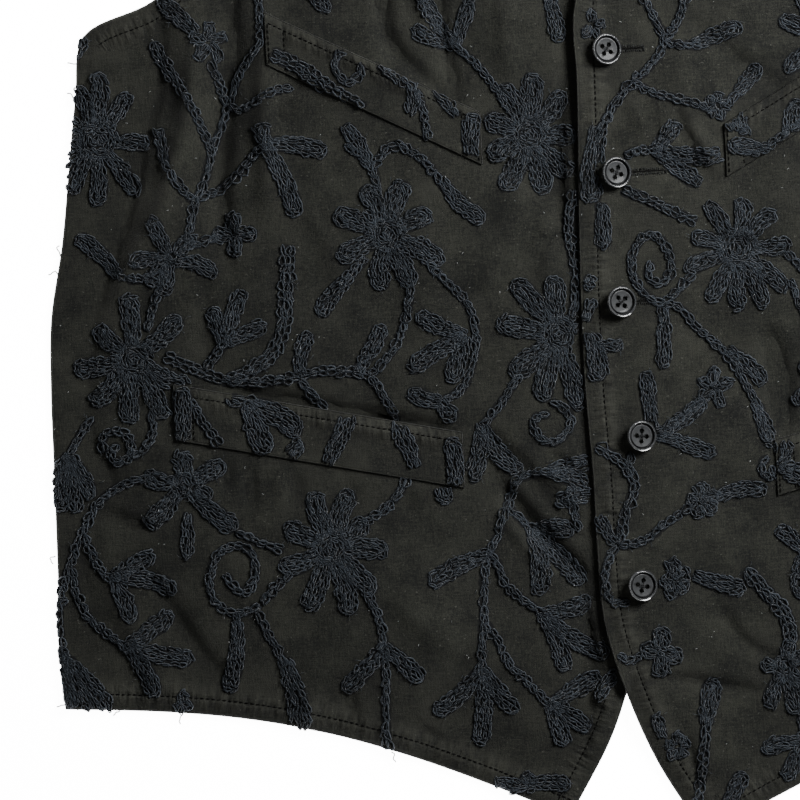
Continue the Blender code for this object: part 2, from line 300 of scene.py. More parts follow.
yarnLook = {
    "dark": (0.0030, 0.0042, 0.0058),
    "light": (0.0178, 0.0218, 0.0270),
    "shadow": (0.0012, 0.0014, 0.0015),  # painted shade: the near-black of the patches under and round the loops, for the shadow between the strands
    "fuzz": (2400.0, 2.2),  # scale, and weight in the shade
    "patches": (300.0, 0.9),
    "twistWeight": 0.12,
    "toneWeight": 0.7,
    "twistPerMm": 2.6,
    "twistDepth": 0.08 * mm,
    "fuzzDepth": 0.16 * mm,
}


def yarnFinish():
    # soft cotton yarn: the twist of its plies along each strand, stray fibres, stitches of uneven tone, and
    # painted shade on the patches under the loops
    constants = {"Roughness": 0.88, "Specular IOR Level": 0.12, "Sheen Weight": 0.05, "Sheen Roughness": 0.4}
    finish = Finish("yarn", constants)
    place = finish.objectPlace()
    cosine, sine, along = finish.split(finish.attribute("yarnRun", 1))
    angle = along * yarnLook["twistPerMm"]
    twist = sine * (angle + math.pi / 2).sine() + cosine * angle.sine()
    fuzzScale, fuzzWeight = yarnLook["fuzz"]
    patchScale, patchWeight = yarnLook["patches"]
    fuzz = finish.noise(place, fuzzScale)
    patches = finish.noise(place, patchScale)
    tone = finish.attribute("yarnToneAndShade", 2)
    parts = twist * yarnLook["twistWeight"] + (fuzz - 0.5) * fuzzWeight + (patches - 0.5) * patchWeight
    shade = (parts + tone * yarnLook["toneWeight"] + 0.12).limited(0.0, 1.0)
    colour = finish.mix(shade, yarnLook["dark"], yarnLook["light"])
    paintedShade = (tone * -1.0).limited(0.0, 1.0)  # painted shade: the patches under the loops carry -1 and take the shadow colour
    colour = finish.mix(paintedShade, colour, yarnLook["shadow"])
    finish.surface(Base_Color=colour, Roughness=0.8 + fuzz * 0.2)
    finish.bump(twist * yarnLook["twistDepth"] + fuzz * yarnLook["fuzzDepth"])
    return finish.material


threadLook = {
    "dark": (0.0006, 0.0006, 0.0006),
    "light": (0.0018, 0.0018, 0.0016),
    "hole": (0.0240, 0.0250, 0.0250),  # the worked edge of a buttonhole is rubbed paler
    "shank": (0.0085, 0.0088, 0.0091),
    "lint": (0.35, 0.36, 0.36),
    "fuzzScale": 1500.0,
    "fuzzDepth": 0.06 * mm,
    "lintScale": 900.0,
}


def threadFinish(name, light):
    # fine cotton sewing thread
    finish = Finish(name, {"Roughness": 0.9, "Specular IOR Level": 0.05})
    fuzz = finish.noise(finish.objectPlace(), threadLook["fuzzScale"])
    shade = ((fuzz - 0.5) * 2.2 + 0.4).limited(0.0, 1.0)
    finish.surface(Base_Color=finish.mix(shade, threadLook["dark"], light))
    finish.bump(fuzz * threadLook["fuzzDepth"])
    return finish.material


def lintFinish():
    # pale stray fibres
    finish = Finish("lint", {"Roughness": 0.9})
    fuzz = finish.noise(finish.objectPlace(), threadLook["lintScale"])
    finish.surface(Base_Color=finish.mix(fuzz, yarnLook["light"], threadLook["lint"]))
    return finish.material


buttonLook = {
    "dark": (0.007, 0.0075, 0.008),
    "light": (0.020, 0.021, 0.022),
    # painted shade: near black in the groove, for the shadow that the rim casts there
    "groove": (0.001, 0.001, 0.001),
    "cloudScale": 260.0,
    "scratchScale": (2400, 300, 300),
}


def buttonFinish():
    # glossy dark horn with faint cloudy streaks and hairline scratches, dull in its groove, which is painted
    # near black as shade
    finish = Finish("button", {"Specular IOR Level": 0.08, "Coat Roughness": 0.04})
    place = finish.objectPlace()
    clouds = finish.noise(place, buttonLook["cloudScale"], 3.0)
    scratches = finish.stretchedNoise(place, buttonLook["scratchScale"])
    polishAndShade = finish.attribute("polishAndShade", 2)
    shade = (clouds * 0.9 + scratches * 0.3 - 0.1).limited(0.0, 1.0)
    horn = finish.mix(shade, buttonLook["dark"], buttonLook["light"])
    # painted shade: where the polish is low, in the groove, the colour turns near black
    finish.surface(
        Base_Color=finish.mix((polishAndShade * 5.0).limited(0.0, 1.0), buttonLook["groove"], horn),
        Roughness=0.54 - polishAndShade * 0.4 + scratches * 0.06,
        Coat_Weight=polishAndShade * polishAndShade,
    )
    return finish.material


# Mesh tools


def meshFrom(name, points, *faceSets):
    # a mesh of points and faces; each set holds faces with one number of corners
    mesh = bpy.data.meshes.new(name)
    loops = np.concatenate([np.ravel(faces) for faces in faceSets])
    sizes = np.concatenate([np.full(len(faces), faces.shape[1]) for faces in faceSets])
    mesh.vertices.add(len(points))
    mesh.vertices.foreach_set("co", np.asarray(points, np.float32).ravel())
    mesh.loops.add(len(loops))
    mesh.loops.foreach_set("vertex_index", loops.astype(np.int32))
    mesh.polygons.add(len(sizes))
    mesh.polygons.foreach_set("loop_start", (np.cumsum(sizes) - sizes).astype(np.int32))
    mesh.update(calc_edges=True)
    mesh.validate()
    mesh.shade_smooth()
    return mesh


def addAttribute(mesh, name, values):
    # one number or one vector for each point
    values = np.asarray(values, np.float32)
    kind, field = ("FLOAT", "value") if values.ndim == 1 else ("FLOAT_VECTOR", "vector")
    mesh.attributes.new(name, kind, "POINT").data.foreach_set(field, values.ravel())


def addPiece(name, mesh, finish):
    # a mesh as a piece of the garment with its finish
    piece = bpy.data.objects.new(name, mesh)
    bpy.context.scene.collection.objects.link(piece)
    mesh.materials.append(finish)
    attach(piece, "root")
    return piece


def gridFaces(rows, columns):
    # quads of a grid whose points run row by row, facing up where rows go down the garment
    index = np.arange(rows * columns).reshape(rows, columns)
    corners = (index[:-1, :-1], index[1:, :-1], index[1:, 1:], index[:-1, 1:])
    return np.stack([np.ravel(corner) for corner in corners], 1)


def rimOf(index):
    # the points round a grid's edge, in order
    return np.concatenate([index[0, :-1], index[:-1, -1], index[-1, :0:-1], index[:0:-1, 0]])


def coarseFaces(index, step):
    # faces of a grid with a point at every step inside and all its points along the edge
    rows, columns = (size // step for size in (index.shape[0] - 1, index.shape[1] - 1))
    faces = []
    for row in range(rows):
        for column in range(columns):
            cell = index[row * step : row * step + step + 1, column * step : column * step + step + 1]
            keep = np.zeros(cell.shape, bool)
            keep[[0, 0, -1, -1], [0, -1, 0, -1]] = True
            keep[0] |= row == 0
            keep[-1] |= row == rows - 1
            keep[:, 0] |= column == 0
            keep[:, -1] |= column == columns - 1
            faces.append(rimOf(cell)[rimOf(keep)])
    return faces


def wallMesh(name, top, bottom, bulge, step, attributes):
    # two grids of points, an upper face and a coarser lower one, closed by a rounded rim between them
    rows, columns = top.shape[:2]
    index = np.arange(rows * columns).reshape(rows, columns)
    used = np.zeros(index.shape, bool)
    used[::step, ::step] = True
    used[[0, -1]] = True
    used[:, [0, -1]] = True
    lowerIndex = np.full(index.shape, -1)
    lowerIndex[used] = rows * columns + np.arange(used.sum())
    rim, lowerRim = rimOf(index), rimOf(lowerIndex)
    upper, lower = top.reshape(-1, 3), bottom[used]
    run = np.roll(upper[rim], -1, 0) - np.roll(upper[rim], 1, 0)
    outward = np.stack([run[:, 1], -run[:, 0], 0 * run[:, 0]], 1)
    outward /= np.linalg.norm(outward, axis=1, keepdims=True) + 1e-12
    middle = (upper[rim] + rimOf(bottom)) / 2
    if (outward * (middle - upper.mean(0)) * (1, 1, 0)).sum() < 0:
        outward = -outward
    middleIndex = rows * columns + used.sum() + np.arange(len(rim))
    points = np.concatenate([upper, lower, middle + bulge * outward])
    faces = gridFaces(rows, columns)
    corner = upper[faces[0]]
    flip = np.cross(corner[1] - corner[0], corner[3] - corner[0])[2] < 0
    turn = -1 if flip else 1
    bands = [
        np.stack([line, middleIndex, np.roll(middleIndex, -1), np.roll(line, -1)], 1)[:, ::way]
        for line, way in ((rim, turn), (lowerRim, -turn))
    ]
    groups = {}
    for face in coarseFaces(lowerIndex, step):
        groups.setdefault(len(face), []).append(face[::turn])
    inner = [np.array(group) for group in groups.values()]
    mesh = meshFrom(name, points, faces[:, ::turn], *inner, *bands)
    for attribute, values in attributes.items():
        flat = values.reshape(rows * columns, *values.shape[2:])
        addAttribute(mesh, attribute, np.concatenate([flat, 0 * values[used], flat[rim]]))
    return mesh


def strandMesh(name, lines, radius, closed, sides, tones, patches=None):
    # strands x points x 3: each point carries a small ring, square to the strand's run.
    # Patches are flat shapes that lie under the strands.
    strandCount, pointCount = lines.shape[:2]
    run = np.roll(lines, -1, 1) - np.roll(lines, 1, 1) if closed else np.gradient(lines, axis=1)
    run /= np.linalg.norm(run, axis=2, keepdims=True) + 1e-12
    aside = np.cross((0.0, 0.0, 1.0), run)
    aside /= np.linalg.norm(aside, axis=2, keepdims=True) + 1e-12
    over = np.cross(run, aside)
    turn = tau * np.arange(sides) / sides + tau / 4
    cosine, sine = np.cos(turn)[:, None], np.sin(turn)[:, None]
    rings = cosine * aside[:, :, None] + sine * over[:, :, None]
    points = lines[:, :, None] + np.broadcast_to(radius, (strandCount, pointCount))[..., None, None] * rings
    index = np.arange(strandCount * pointCount * sides).reshape(strandCount, pointCount, sides)
    here, around = index, np.roll(index, -1, 2)
    onward, onwardAround = np.roll(here, -1, 1), np.roll(around, -1, 1)
    quads = np.stack([here, around, onwardAround, onward], 3)
    sets = [(quads if closed else quads[:, :-1]).reshape(-1, 4)]
    if not closed:
        sets += [index[:, 0, ::-1], index[:, -1]]
    points, extra = points.reshape(-1, 3), 0
    if patches is not None:
        extra = patches.shape[0] * patches.shape[1]
        sets.append(len(points) + np.arange(extra).reshape(patches.shape[:2]))
        points = np.concatenate([points, patches.reshape(-1, 3)])
    mesh = meshFrom(name, points, *sets)
    step = np.linalg.norm(np.diff(lines, axis=1, prepend=lines[:, :1]), axis=2)
    along = np.cumsum(step, 1) / mm + 7.0 * tones[:, None]
    shape = (strandCount, pointCount, sides)
    frameOfRing = [np.broadcast_to(np.cos(turn), shape), np.broadcast_to(np.sin(turn), shape)]
    frameOfRing.append(np.broadcast_to(along[:, :, None], shape))
    frameOfRing = np.stack(frameOfRing, 3).reshape(-1, 3)
    addAttribute(mesh, "yarnRun", np.concatenate([frameOfRing, np.zeros((extra, 3))]))
    toneOfRing = np.broadcast_to(tones[:, None, None], shape).ravel()
    # the patches carry -1, which the yarn finish paints as shade
    addAttribute(mesh, "yarnToneAndShade", np.concatenate([toneOfRing, np.full(extra, -1.0)]))
    return mesh


# Numbers over the plane


def eased(share):
    # from 0 to 1 with a level start and end
    share = np.clip(share, 0, 1)
    return share * share * (3 - 2 * share)


def bell(distance, reach):
    # 1 at no distance, falling smoothly toward 0 past the reach
    return np.exp(-((distance / reach) ** 2))


def nearness(distance, reach):
    # 1 at no distance and 0 from the reach on, steepest at the start
    return np.clip(1 - distance / reach, 0, 1) ** 2


def through(values, place):
    # a smooth curve through a column of values, read at places from 0 to 1 along it
    values = np.asarray(values, float)
    last = len(values) - 1
    at = np.clip(place, 0, 1) * last
    start = np.minimum(at.astype(int), last - 1)
    share = at - start
    before, here, after, beyond = (values[np.clip(start + step, 0, last)] for step in (-1, 0, 1, 2))
    bend = 2 * before - 5 * here + 4 * after - beyond
    twist = 3 * here - before - 3 * after + beyond
    return here + 0.5 * ((after - before) * share + bend * share**2 + twist * share**3)


latticeSize = 4096
latticeSteps = (1619, 3557, 271)  # primes that scatter a cell's column, row and layer over the lattice
lattice = chance.uniform(-1, 1, latticeSize)


def softNoise(x, y, cell, layer):
    # random heights at the corners of square cells, blended evenly between them
    byColumn, byRow, byLayer = latticeSteps
    gridX, gridY = np.asarray(x) / cell, np.asarray(y) / cell
    cellX, cellY = np.floor(gridX).astype(int), np.floor(gridY).astype(int)
    shareX, shareY = eased(gridX - cellX), eased(gridY - cellY)

    def corner(stepX, stepY):
        # the random height at one of a cell's four corners
        mixed = (cellX + stepX) * byColumn + (cellY + stepY) * byRow + layer * byLayer
        return lattice[mixed % latticeSize]

    upper = corner(0, 0) * (1 - shareX) + corner(1, 0) * shareX
    lower = corner(0, 1) * (1 - shareX) + corner(1, 1) * shareX
    return upper * (1 - shareY) + lower * shareY


def curved(points):
    # a smooth line through given points
    points = np.array(points, float)
    at = np.linspace(0, 1, (len(points) - 1) * 8 + 1)
    return np.stack([through(points[:, 0], at), through(points[:, 1], at)], 1)


def nearestOn(line, x, y):
    # distance to a line of short straight runs, and how far along it the nearest point lies
    points = np.stack([np.ravel(x), np.ravel(y)], 1)
    start, run = line[:-1], np.diff(line, axis=0)
    length = np.hypot(run[:, 0], run[:, 1])
    before = np.cumsum(length) - length
    away, along = np.empty(len(points)), np.empty(len(points))
    batch = 2000
    for first in range(0, len(points), batch):
        part = points[first : first + batch]
        offset = part[:, None] - start
        share = np.clip((offset * run).sum(2) / length**2, 0, 1)
        gap = np.linalg.norm(offset - share[..., None] * run, axis=2)
        best = gap.argmin(1)
        rows = np.arange(len(part))
        away[first : first + batch] = gap[rows, best]
        along[first : first + batch] = before[best] + share[rows, best] * length[best]
    return away.reshape(np.shape(x)), along.reshape(np.shape(x))


def insideOf(outline, x, y):
    # whether each point lies in a closed outline: a level ray from it crosses that an odd number of times
    startX, startY = outline[:, 0], outline[:, 1]
    endX, endY = np.roll(startX, -1), np.roll(startY, -1)
    rise = np.where(endY == startY, 1e-12, endY - startY)
    pointX, pointY = np.ravel(x)[:, None], np.ravel(y)[:, None]
    spans = (startY > pointY) != (endY > pointY)
    crossings = spans & (pointX < startX + (pointY - startY) / rise * (endX - startX))
    return (crossings.sum(1) % 2 == 1).reshape(np.shape(x))


def stepped(line, pitch):
    # the line again, in even steps of about the pitch
    length = np.concatenate([[0], np.cumsum(np.hypot(*np.diff(line, axis=0).T))])
    count = max(round(length[-1] / pitch), 1)
    at = np.linspace(0, length[-1], count + 1)
    return np.stack([np.interp(at, length, line[:, 0]), np.interp(at, length, line[:, 1])], 1)


def movedInward(line, distance, outline):
    # the line moved square to itself, to the side that lies in the outline
    run = np.gradient(line, axis=0)
    square = np.stack([-run[:, 1], run[:, 0]], 1)
    square /= np.linalg.norm(square, axis=1, keepdims=True)
    middle = len(line) // 2
    probe = line[middle] + square[middle] * (2 * mm)
    way = 1 if insideOf(outline, probe[0], probe[1]) else -1
    return line + way * distance * square


def heightOn(target, x, y):
    # the height of an object's upper face under each point, found by letting a cloud of points down on it
    start = 0.2
    cloudPoints = np.stack([np.ravel(x), np.ravel(y), np.full(np.size(x), start)], 1)
    mesh = bpy.data.meshes.new("cloud")
    mesh.vertices.add(len(cloudPoints))
    mesh.vertices.foreach_set("co", cloudPoints.astype(np.float32).ravel())
    cloud = bpy.data.objects.new("cloud", mesh)
    bpy.context.scene.collection.objects.link(cloud)
    fall = cloud.modifiers.new("fall", "SHRINKWRAP")
    fall.target = target
    fall.wrap_method = "PROJECT"
    fall.use_project_z = True
    fall.use_negative_direction = True
    fall.use_positive_direction = False
    bpy.context.view_layer.update()
    fallen = cloud.evaluated_get(bpy.context.evaluated_depsgraph_get()).data
    found = np.empty(len(cloudPoints) * 3, np.float32)
    fallen.vertices.foreach_get("co", found)
    bpy.data.objects.remove(cloud)
    bpy.data.meshes.remove(mesh)
    height = found.reshape(-1, 3)[:, 2].astype(float)
    height[height > start - 1e-4] = np.nan
    return height.reshape(np.shape(x))


def spread(grid):
    # gaps in a grid take the mean of their known neighbours, ring by ring
    while np.isnan(grid).any():
        padded = np.pad(grid, 1, constant_values=np.nan)
        rows, columns = grid.shape
        around = np.stack([padded[i : i + rows, j : j + columns] for i in range(3) for j in range(3)])
        known = ~np.isnan(around)
        total = np.where(known, around, 0).sum(0)
        count = known.sum(0)
        mean = np.where(count > 0, total / np.maximum(count, 1), np.nan)
        grid = np.where(np.isnan(grid), mean, grid)
    return grid


def softened(grid, passes):
    # each value leans on its neighbours, half as heavy as itself, along both ways in turn
    for _ in range(passes):
        padded = np.pad(grid, 1, mode="edge")
        grid = (padded[:-2, 1:-1] + 2 * padded[1:-1, 1:-1] + padded[2:, 1:-1]) / 4
        padded = np.pad(grid, 1, mode="edge")
        grid = (padded[1:-1, :-2] + 2 * padded[1:-1, 1:-1] + padded[1:-1, 2:]) / 4
    return grid


def heightMap(nodeName):
    # a solid's upper face as an even raster of heights, smoothed over its facets
    step, margin = 2.5 * mm, 12 * mm
    low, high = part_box(nodeName)
    xs = np.arange(low.x - margin, high.x + margin, step)
    ys = np.arange(low.y - margin, high.y + margin, step)
    gridX, gridY = np.meshgrid(xs, ys)
    heights = heightOn(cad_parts[nodeName], gridX, gridY)
    return {"x": xs, "y": ys, "step": step, "z": softened(spread(heights), 4)}


def readMap(heights, x, y):
    # between the raster's four nearest values, by the share of the way across
    atX = np.clip((x - heights["x"][0]) / heights["step"], 0, len(heights["x"]) - 1.001)
    atY = np.clip((y - heights["y"][0]) / heights["step"], 0, len(heights["y"]) - 1.001)
    column, row = atX.astype(int), atY.astype(int)
    shareX, shareY = atX - column, atY - row
    z = heights["z"]
    near = z[row, column] * (1 - shareX) + z[row, column + 1] * shareX
    far = z[row + 1, column] * (1 - shareX) + z[row + 1, column + 1] * shareX
    return near * (1 - shareY) + far * shareY


# The cut of the panels, in millimetres out from the centre line and down from the shoulders

frontRows = [  # side out, side drop, front edge out, front edge drop, belly
    (183, 42, 85, 0, 1),
    (175, 74, 74.5, 32, 2),
    (170, 107, 62.5, 65, 3),
    (167, 140, 50, 98, 4),
    (168, 172, 37, 131, 4),
    (175, 203, 24, 164, 3),
    (191, 232, 10.5, 197, 2),
    (214, 251, -3, 229, 1),
    (246, 265, -11, 256, 0),
    (252, 295, -11, 286, 0),
    (257, 330, -12, 320, 0),
    (262, 365, -13.5, 358, 0),
    (269, 400, -14.5, 398, 0),
    (271, 435, -14.5, 437, 0),
    (271.5, 470, -13, 476, 0),
    (272, 505, -12.8, 515, 0),
    (272.5, 535, -11, 548, -3),
    (273, 560, -2, 582, -7),
    (273, 576, 12, 617, -10),
    (272, 588, 32.5, 652, -15.5),
]
underarmRow = 8
backRows = [  # out, drop
    (183, 42), (187, 75), (189, 110), (190, 150), (194, 188), (200, 226), (213, 251), (246, 265),
    (252, 295), (257, 330), (262, 365), (269, 400), (271, 435), (271.5, 470), (272, 505), (272.5, 535),
    (273, 565), (272, 588),
]
panel = {
    "wall": 1.2 * mm,
    "widest": 273 * mm,
    "overDrop": 12.5 * mm,  # the left front lies this much lower at the closing
    "overDropReach": 246 * mm,
    "extension": 9 * mm,  # the right front reaches this much further under the left one
    "extensionRows": (190 * mm, 70 * mm, 515 * mm, 67 * mm),  # start, growth, end, fade
    "columns": 151,
    "rows": 281,
    "inner": 5,  # the wall's inner face has a point at every fifth of those
    "edgeDensity": 0.55,
    "sideSag": (3.0 * mm, 60 * mm),  # how the cloth sinks toward the side seam
    "clearance": 1.7 * mm,  # kept between a front's inner face and the floor
    "ease": 1.01,  # the cloth taken up in soft folds
    "rimBulge": 0.45 * mm,
    "backGrid": (81, 121, 4),  # columns, rows, and the step of its inner face
    "backNeckOut": 85 * mm,
    "backNeckDrop": 22 * mm,
    "backHemHollow": 13 * mm,
}


def settled(out, drop):
    # the left front lies lower, most at the closing, and not at its side or its shoulder
    shareOut = np.minimum(np.abs(out) / panel["widest"], 1)
    return drop + panel["overDrop"] * (1 - shareOut**2) * eased(drop / panel["overDropReach"])


def frontPlan(side, across, down):
    # straight rows from the side to the front edge that hang by their belly, then settled at the closing
    table = np.array(frontRows) * mm
    start, growth, end, fade = panel["extensionRows"]
    edge = table[:, 2]
    if side == underSide:
        drops = table[:, 3]
        edge = edge - panel["extension"] * eased((drops - start) / growth) * (1 - eased((drops - end) / fade))
    sideOut, sideDrop = through(table[:, 0], down), through(table[:, 1], down)
    edgeOut, edgeDrop = through(edge, down), through(table[:, 3], down)
    out = sideOut + (edgeOut - sideOut) * across
    drop = sideDrop + (edgeDrop - sideDrop) * across + through(table[:, 4], down) * np.sin(math.pi * across)
    if side == overSide:
        drop = settled(out, drop)
    return side * out, topY - drop


def frontEdges(side):
    # the named edges of a front as lines, and its whole outline
    steps = np.linspace(0, 1, 260)
    ones = np.ones_like(steps)
    underarm = underarmRow / (len(frontRows) - 1)
    edges = {
        "shoulder": frontPlan(side, steps, 0 * ones),
        "front": frontPlan(side, ones, steps),
        "hem": frontPlan(side, 1 - steps, ones),
        "sideSeam": frontPlan(side, 0 * ones, 1 - steps * (1 - underarm)),
        "armhole": frontPlan(side, 0 * ones, (1 - steps) * underarm),
    }
    edges = {name: np.stack(edge, 1) for name, edge in edges.items()}
    edges["outline"] = np.concatenate([edge[:-1] for edge in edges.values()])
    return edges


seams = {  # width of the turned edge, its rise, the stitches' sink, and the puckers' height and spacing
    "front": (8.6 * mm, 0.30 * mm, 0.45 * mm, 0.34 * mm, 4.6 * mm),
    "hem": (7.3 * mm, 0.28 * mm, 0.40 * mm, 0.40 * mm, 6.4 * mm),
    "armhole": (8.0 * mm, 0.30 * mm, 0.40 * mm, 0.36 * mm, 5.0 * mm),
}
seamReach = 3.6 * mm  # how far puckers run out from the stitches
wearReach = 1.4 * seamReach
grooveReach = 0.9 * mm
edgeRound = (0.45 * mm, 0.9 * mm)  # how far an edge's rim rounds off, and over what width
lap = {  # how the two fronts meet where they are buttoned
    "coverFrom": 6 * mm,  # the right front lies flat from this far before the left one's edge
    "coveredShare": 0.2,  # of its hollows that stay there
    "dip": (1.8 * mm, 3 * mm, 6 * mm),  # beside the left front's edge: depth, distance and half width
    "overShare": 0.25,  # of the creases that stay on the left front over the right one
    "overReach": 22 * mm,  # and they come back over this width
    "curl": (2.6 * mm, 14 * mm),  # how far the left front's free edge stands up, and over what width
}
curlAlong = [  # drop in millimetres, share of the curl
    (250, 1.1), (310, 1.0), (345, 0.3), (440, 0.2), (470, 0.35), (550, 0.5), (590, 0.9), (620, 0.2),
]
sideFade = 14 * mm  # the creases fade over this width beside the side seam

creases = [  # rise and half width in millimetres, and places along each in the frame's pixels
    (-3.6, 6.5, [(166, 10), (158, 70), (143, 133), (117, 247), (93, 318)]),
    (-2.6, 3.6, [(152, 92), (142, 150), (132, 198)]),
    (-2.6, 3.4, [(126, 218), (111, 252), (92, 304)]),
    (1.8, 4.0, [(140, 232), (130, 262), (114, 300)]),
    (2.6, 7.0, [(196, 20), (184, 120), (162, 200), (136, 262)]),
    (-3.4, 7.0, [(236, -80), (237, 0), (230, 100), (227, 187), (236, 276)]),
    (2.2, 9.0, [(268, 0), (263, 100), (266, 216)]),
    (-2.8, 5.0, [(382, -70), (387, 0), (395, 40), (427, 73), (456, 94)]),
    (-2.8, 3.2, [(440, -40), (443, 0), (448, 42), (459, 94)]),
    (2.0, 12.0, [(500, -20), (504, 40), (512, 84)]),
    (1.5, 5.0, [(416, -30), (424, 20), (438, 56)]),
    (-1.9, 3.6, [(490, 284), (530, 252), (576, 224)]),
    (-2.4, 5.0, [(484, 158), (528, 166), (574, 172)]),
    (-2.6, 9.0, [(562, 96), (566, 160), (568, 226)]),
    (1.4, 8.0, [(540, 210), (548, 250), (546, 300)]),
    (-1.2, 6.0, [(450, 288), (486, 290), (524, 280)]),
    (0.9, 6.0, [(300, 200), (330, 250), (345, 300)]),
    (-2.0, 4.5, [(66, 296), (88, 330), (94, 356)]),
    (-4.6, 3.4, [(232, 386), (300, 399), (350, 410), (410, 418), (452, 428)]),
    (-3.0, 4.4, [(484, 424), (530, 466), (600, 532)]),
    (2.2, 3.8, [(506, 454), (545, 488), (596, 542)]),
    (-3.6, 6.4, [(494, 462), (540, 522), (604, 584)]),
    (-1.5, 3.0, [(550, 448), (575, 466), (598, 488)]),
    (1.3, 4.0, [(490, 500), (520, 540), (560, 590)]),
    (-2.0, 4.0, [(84, 426), (100, 455), (116, 484)]),
    (-1.7, 3.0, [(80, 506), (115, 516), (154, 526)]),
    (-1.9, 9.0, [(150, 560), (180, 610), (218, 664), (240, 706)]),
    (1.0, 9.0, [(108, 596), (140, 650), (166, 706)]),
    (-1.2, 9.0, [(214, 270), (212, 330), (224, 384)]),
    (-1.5, 8.0, [(98, 190), (92, 230), (82, 268)]),
    (2.2, 9.0, [(92, 40), (86, 110), (84, 200)]),
    (-2.0, 7.0, [(320, 736), (400, 758), (470, 786), (540, 816)]),
    (-1.5, 3.0, [(253, 462), (255, 508)]), (-1.2, 3.0, [(228, 458), (231, 490)]),
    (-1.3, 3.0, [(300, 470), (298, 506)]), (0.9, 3.0, [(276, 468), (277, 500)]),
    (-1.1, 3.0, [(352, 476), (356, 502)]), (-1.1, 3.0, [(410, 486), (414, 516)]),
    (-1.5, 5.0, [(352, 684), (362, 744)]), (-1.4, 4.0, [(236, 704), (246, 744)]),
    (1.1, 6.0, [(300, 690), (312, 742)]),
    (1.8, 14.0, [(386, 596), (430, 630), (466, 654)]),
    (-1.9, 5.0, [(424, 724), (450, 752), (474, 776)]),
    (-3.0, 9.0, [(600, 600), (594, 690), (574, 790)]),
    (-3.2, 5.0, [(630, 162), (668, 162), (714, 160)]),
    (2.2, 4.4, [(624, 90), (634, 112), (648, 138)]),
    (2.0, 4.0, [(688, 122), (702, 146), (718, 168)]),
    (-1.6, 3.4, [(608, 152), (628, 132), (654, 114)]),
    (-1.5, 3.4, [(654, 106), (660, 130), (665, 152)]),
    (-1.3, 4.0, [(674, 98), (684, 122), (691, 148)]),
    (-1.8, 8.0, [(690, 10), (750, 60), (806, 92)]), (1.2, 6.0, [(720, 66), (760, 50), (800, 42)]),
    (-3.2, 9.0, [(770, 316), (786, 370), (790, 440)]), (-1.5, 9.0, [(700, 226), (760, 240), (810, 256)]),
    (-1.0, 5.0, [(640, 300), (664, 312), (694, 322)]), (-1.0, 4.0, [(604, 250), (620, 240), (642, 234)]),
    (-1.7, 5.0, [(660, 674), (707, 680), (770, 690)]), (1.4, 8.0, [(636, 612), (668, 602), (704, 600)]),
    (-1.4, 5.0, [(690, 730), (698, 760), (706, 792)]), (-1.2, 5.0, [(720, 600), (750, 640), (790, 660)]),
    (-2.6, 9.0, [(860, 120), (880, 190), (930, 260)]), (-2.8, 8.0, [(1010, -40), (1026, 60), (1056, 160)]),
    (1.8, 8.0, [(1042, 20), (1060, 110), (1092, 190)]), (1.4, 10.0, [(880, 360), (920, 380), (966, 420)]),
    (-2.2, 8.0, [(1060, 290), (1072, 380), (1104, 470)]), (-1.9, 7.0, [(940, 556), (985, 570), (1034, 604)]),
    (-1.5, 6.0, [(906, 690), (890, 730), (880, 764)]), (-1.5, 6.0, [(1046, 690), (1062, 668), (1084, 640)]),
    (-2.2, 9.0, [(334, -160), (316, -90), (300, -20)]), (1.6, 8.0, [(250, -256), (252, -190), (262, -120)]),
    (-1.9, 7.0, [(426, -130), (444, -80), (470, -24)]), (-2.4, 9.0, [(862, -226), (850, -150), (830, -76)]),
    (1.8, 8.0, [(950, -266), (944, -190), (930, -116)]), (-1.5, 7.0, [(300, -386), (310, -340), (332, -296)]),
    (-1.6, 8.0, [(900, -406), (894, -350), (880, -296)]),
]
undulation = [(38 * mm, 1.3 * mm), (17 * mm, 0.55 * mm), (8 * mm, 0.18 * mm)]  # cell, height
drape = {  # upright ripples, which fade toward the hem
    "cell": 15 * mm,
    "stretch": 0.25,
    "height": 0.8 * mm,
    "fadeFrom": -0.14,
    "fadeOver": 0.1,
}
creaseGain = 1.7
creaseLean = 0.45  # how much steeper the wall that faces away from the light is
keyWay = np.array(studio["keyPlace"][:2]) / math.hypot(*studio["keyPlace"][:2])  # toward the key light


def clothRelief(x, y):
    # troughs and ridges, sharper along their middles and faded at their ends, over soft unevenness
    total = sum(height * softNoise(x, y, cell, layer) for layer, (cell, height) in enumerate(undulation))
    ripples = drape["height"] * softNoise(x, y * drape["stretch"], drape["cell"], 7)
    total = total + ripples * eased((y - drape["fadeFrom"]) / drape["fadeOver"])
    for rise, width, points in creases:
        line = np.stack(placed(*curved(points).T), 1)
        if rise < 0:  # the table gives the dark wall of a trough
            line = line - 0.4 * width * mm * keyWay
        low, high = line.min(0) - 3 * width * mm, line.max(0) + 3 * width * mm
        near = (x > low[0]) & (x < high[0]) & (y > low[1]) & (y < high[1])
        if not near.any():
            continue
        away, along = nearestOn(line, x[near], y[near])
        travelled = np.concatenate([[0], np.cumsum(np.hypot(*np.diff(line, axis=0).T))])
        nearX, nearY = np.interp(along, travelled, line[:, 0]), np.interp(along, travelled, line[:, 1])
        toKey = (x[near] - nearX) * keyWay[0] + (y[near] - nearY) * keyWay[1]
        lean = np.clip(-1.5 * np.sign(rise) * toKey / (away + 0.1 * mm), -1, 1)
        away = away * (1.1 + creaseLean * lean)
        away = away * (1 + 0.25 * softNoise(x[near], y[near], 9 * mm, 5)) / (width * mm)
        fade = np.sin(math.pi * np.clip(along / travelled[-1], 0.02, 0.98)) ** 0.6
        shape = 0.7 * bell(away, 1) + 0.3 * bell(away * 2.6, 1)
        total[near] += creaseGain * rise * mm * fade * shape
    return total


def seamCoordinates(along, away):
    # millimetres along a seam, and a quarter of those off it, so that puckers run out from it
    return np.stack([along, away * 0.25, 0 * along], -1) / mm


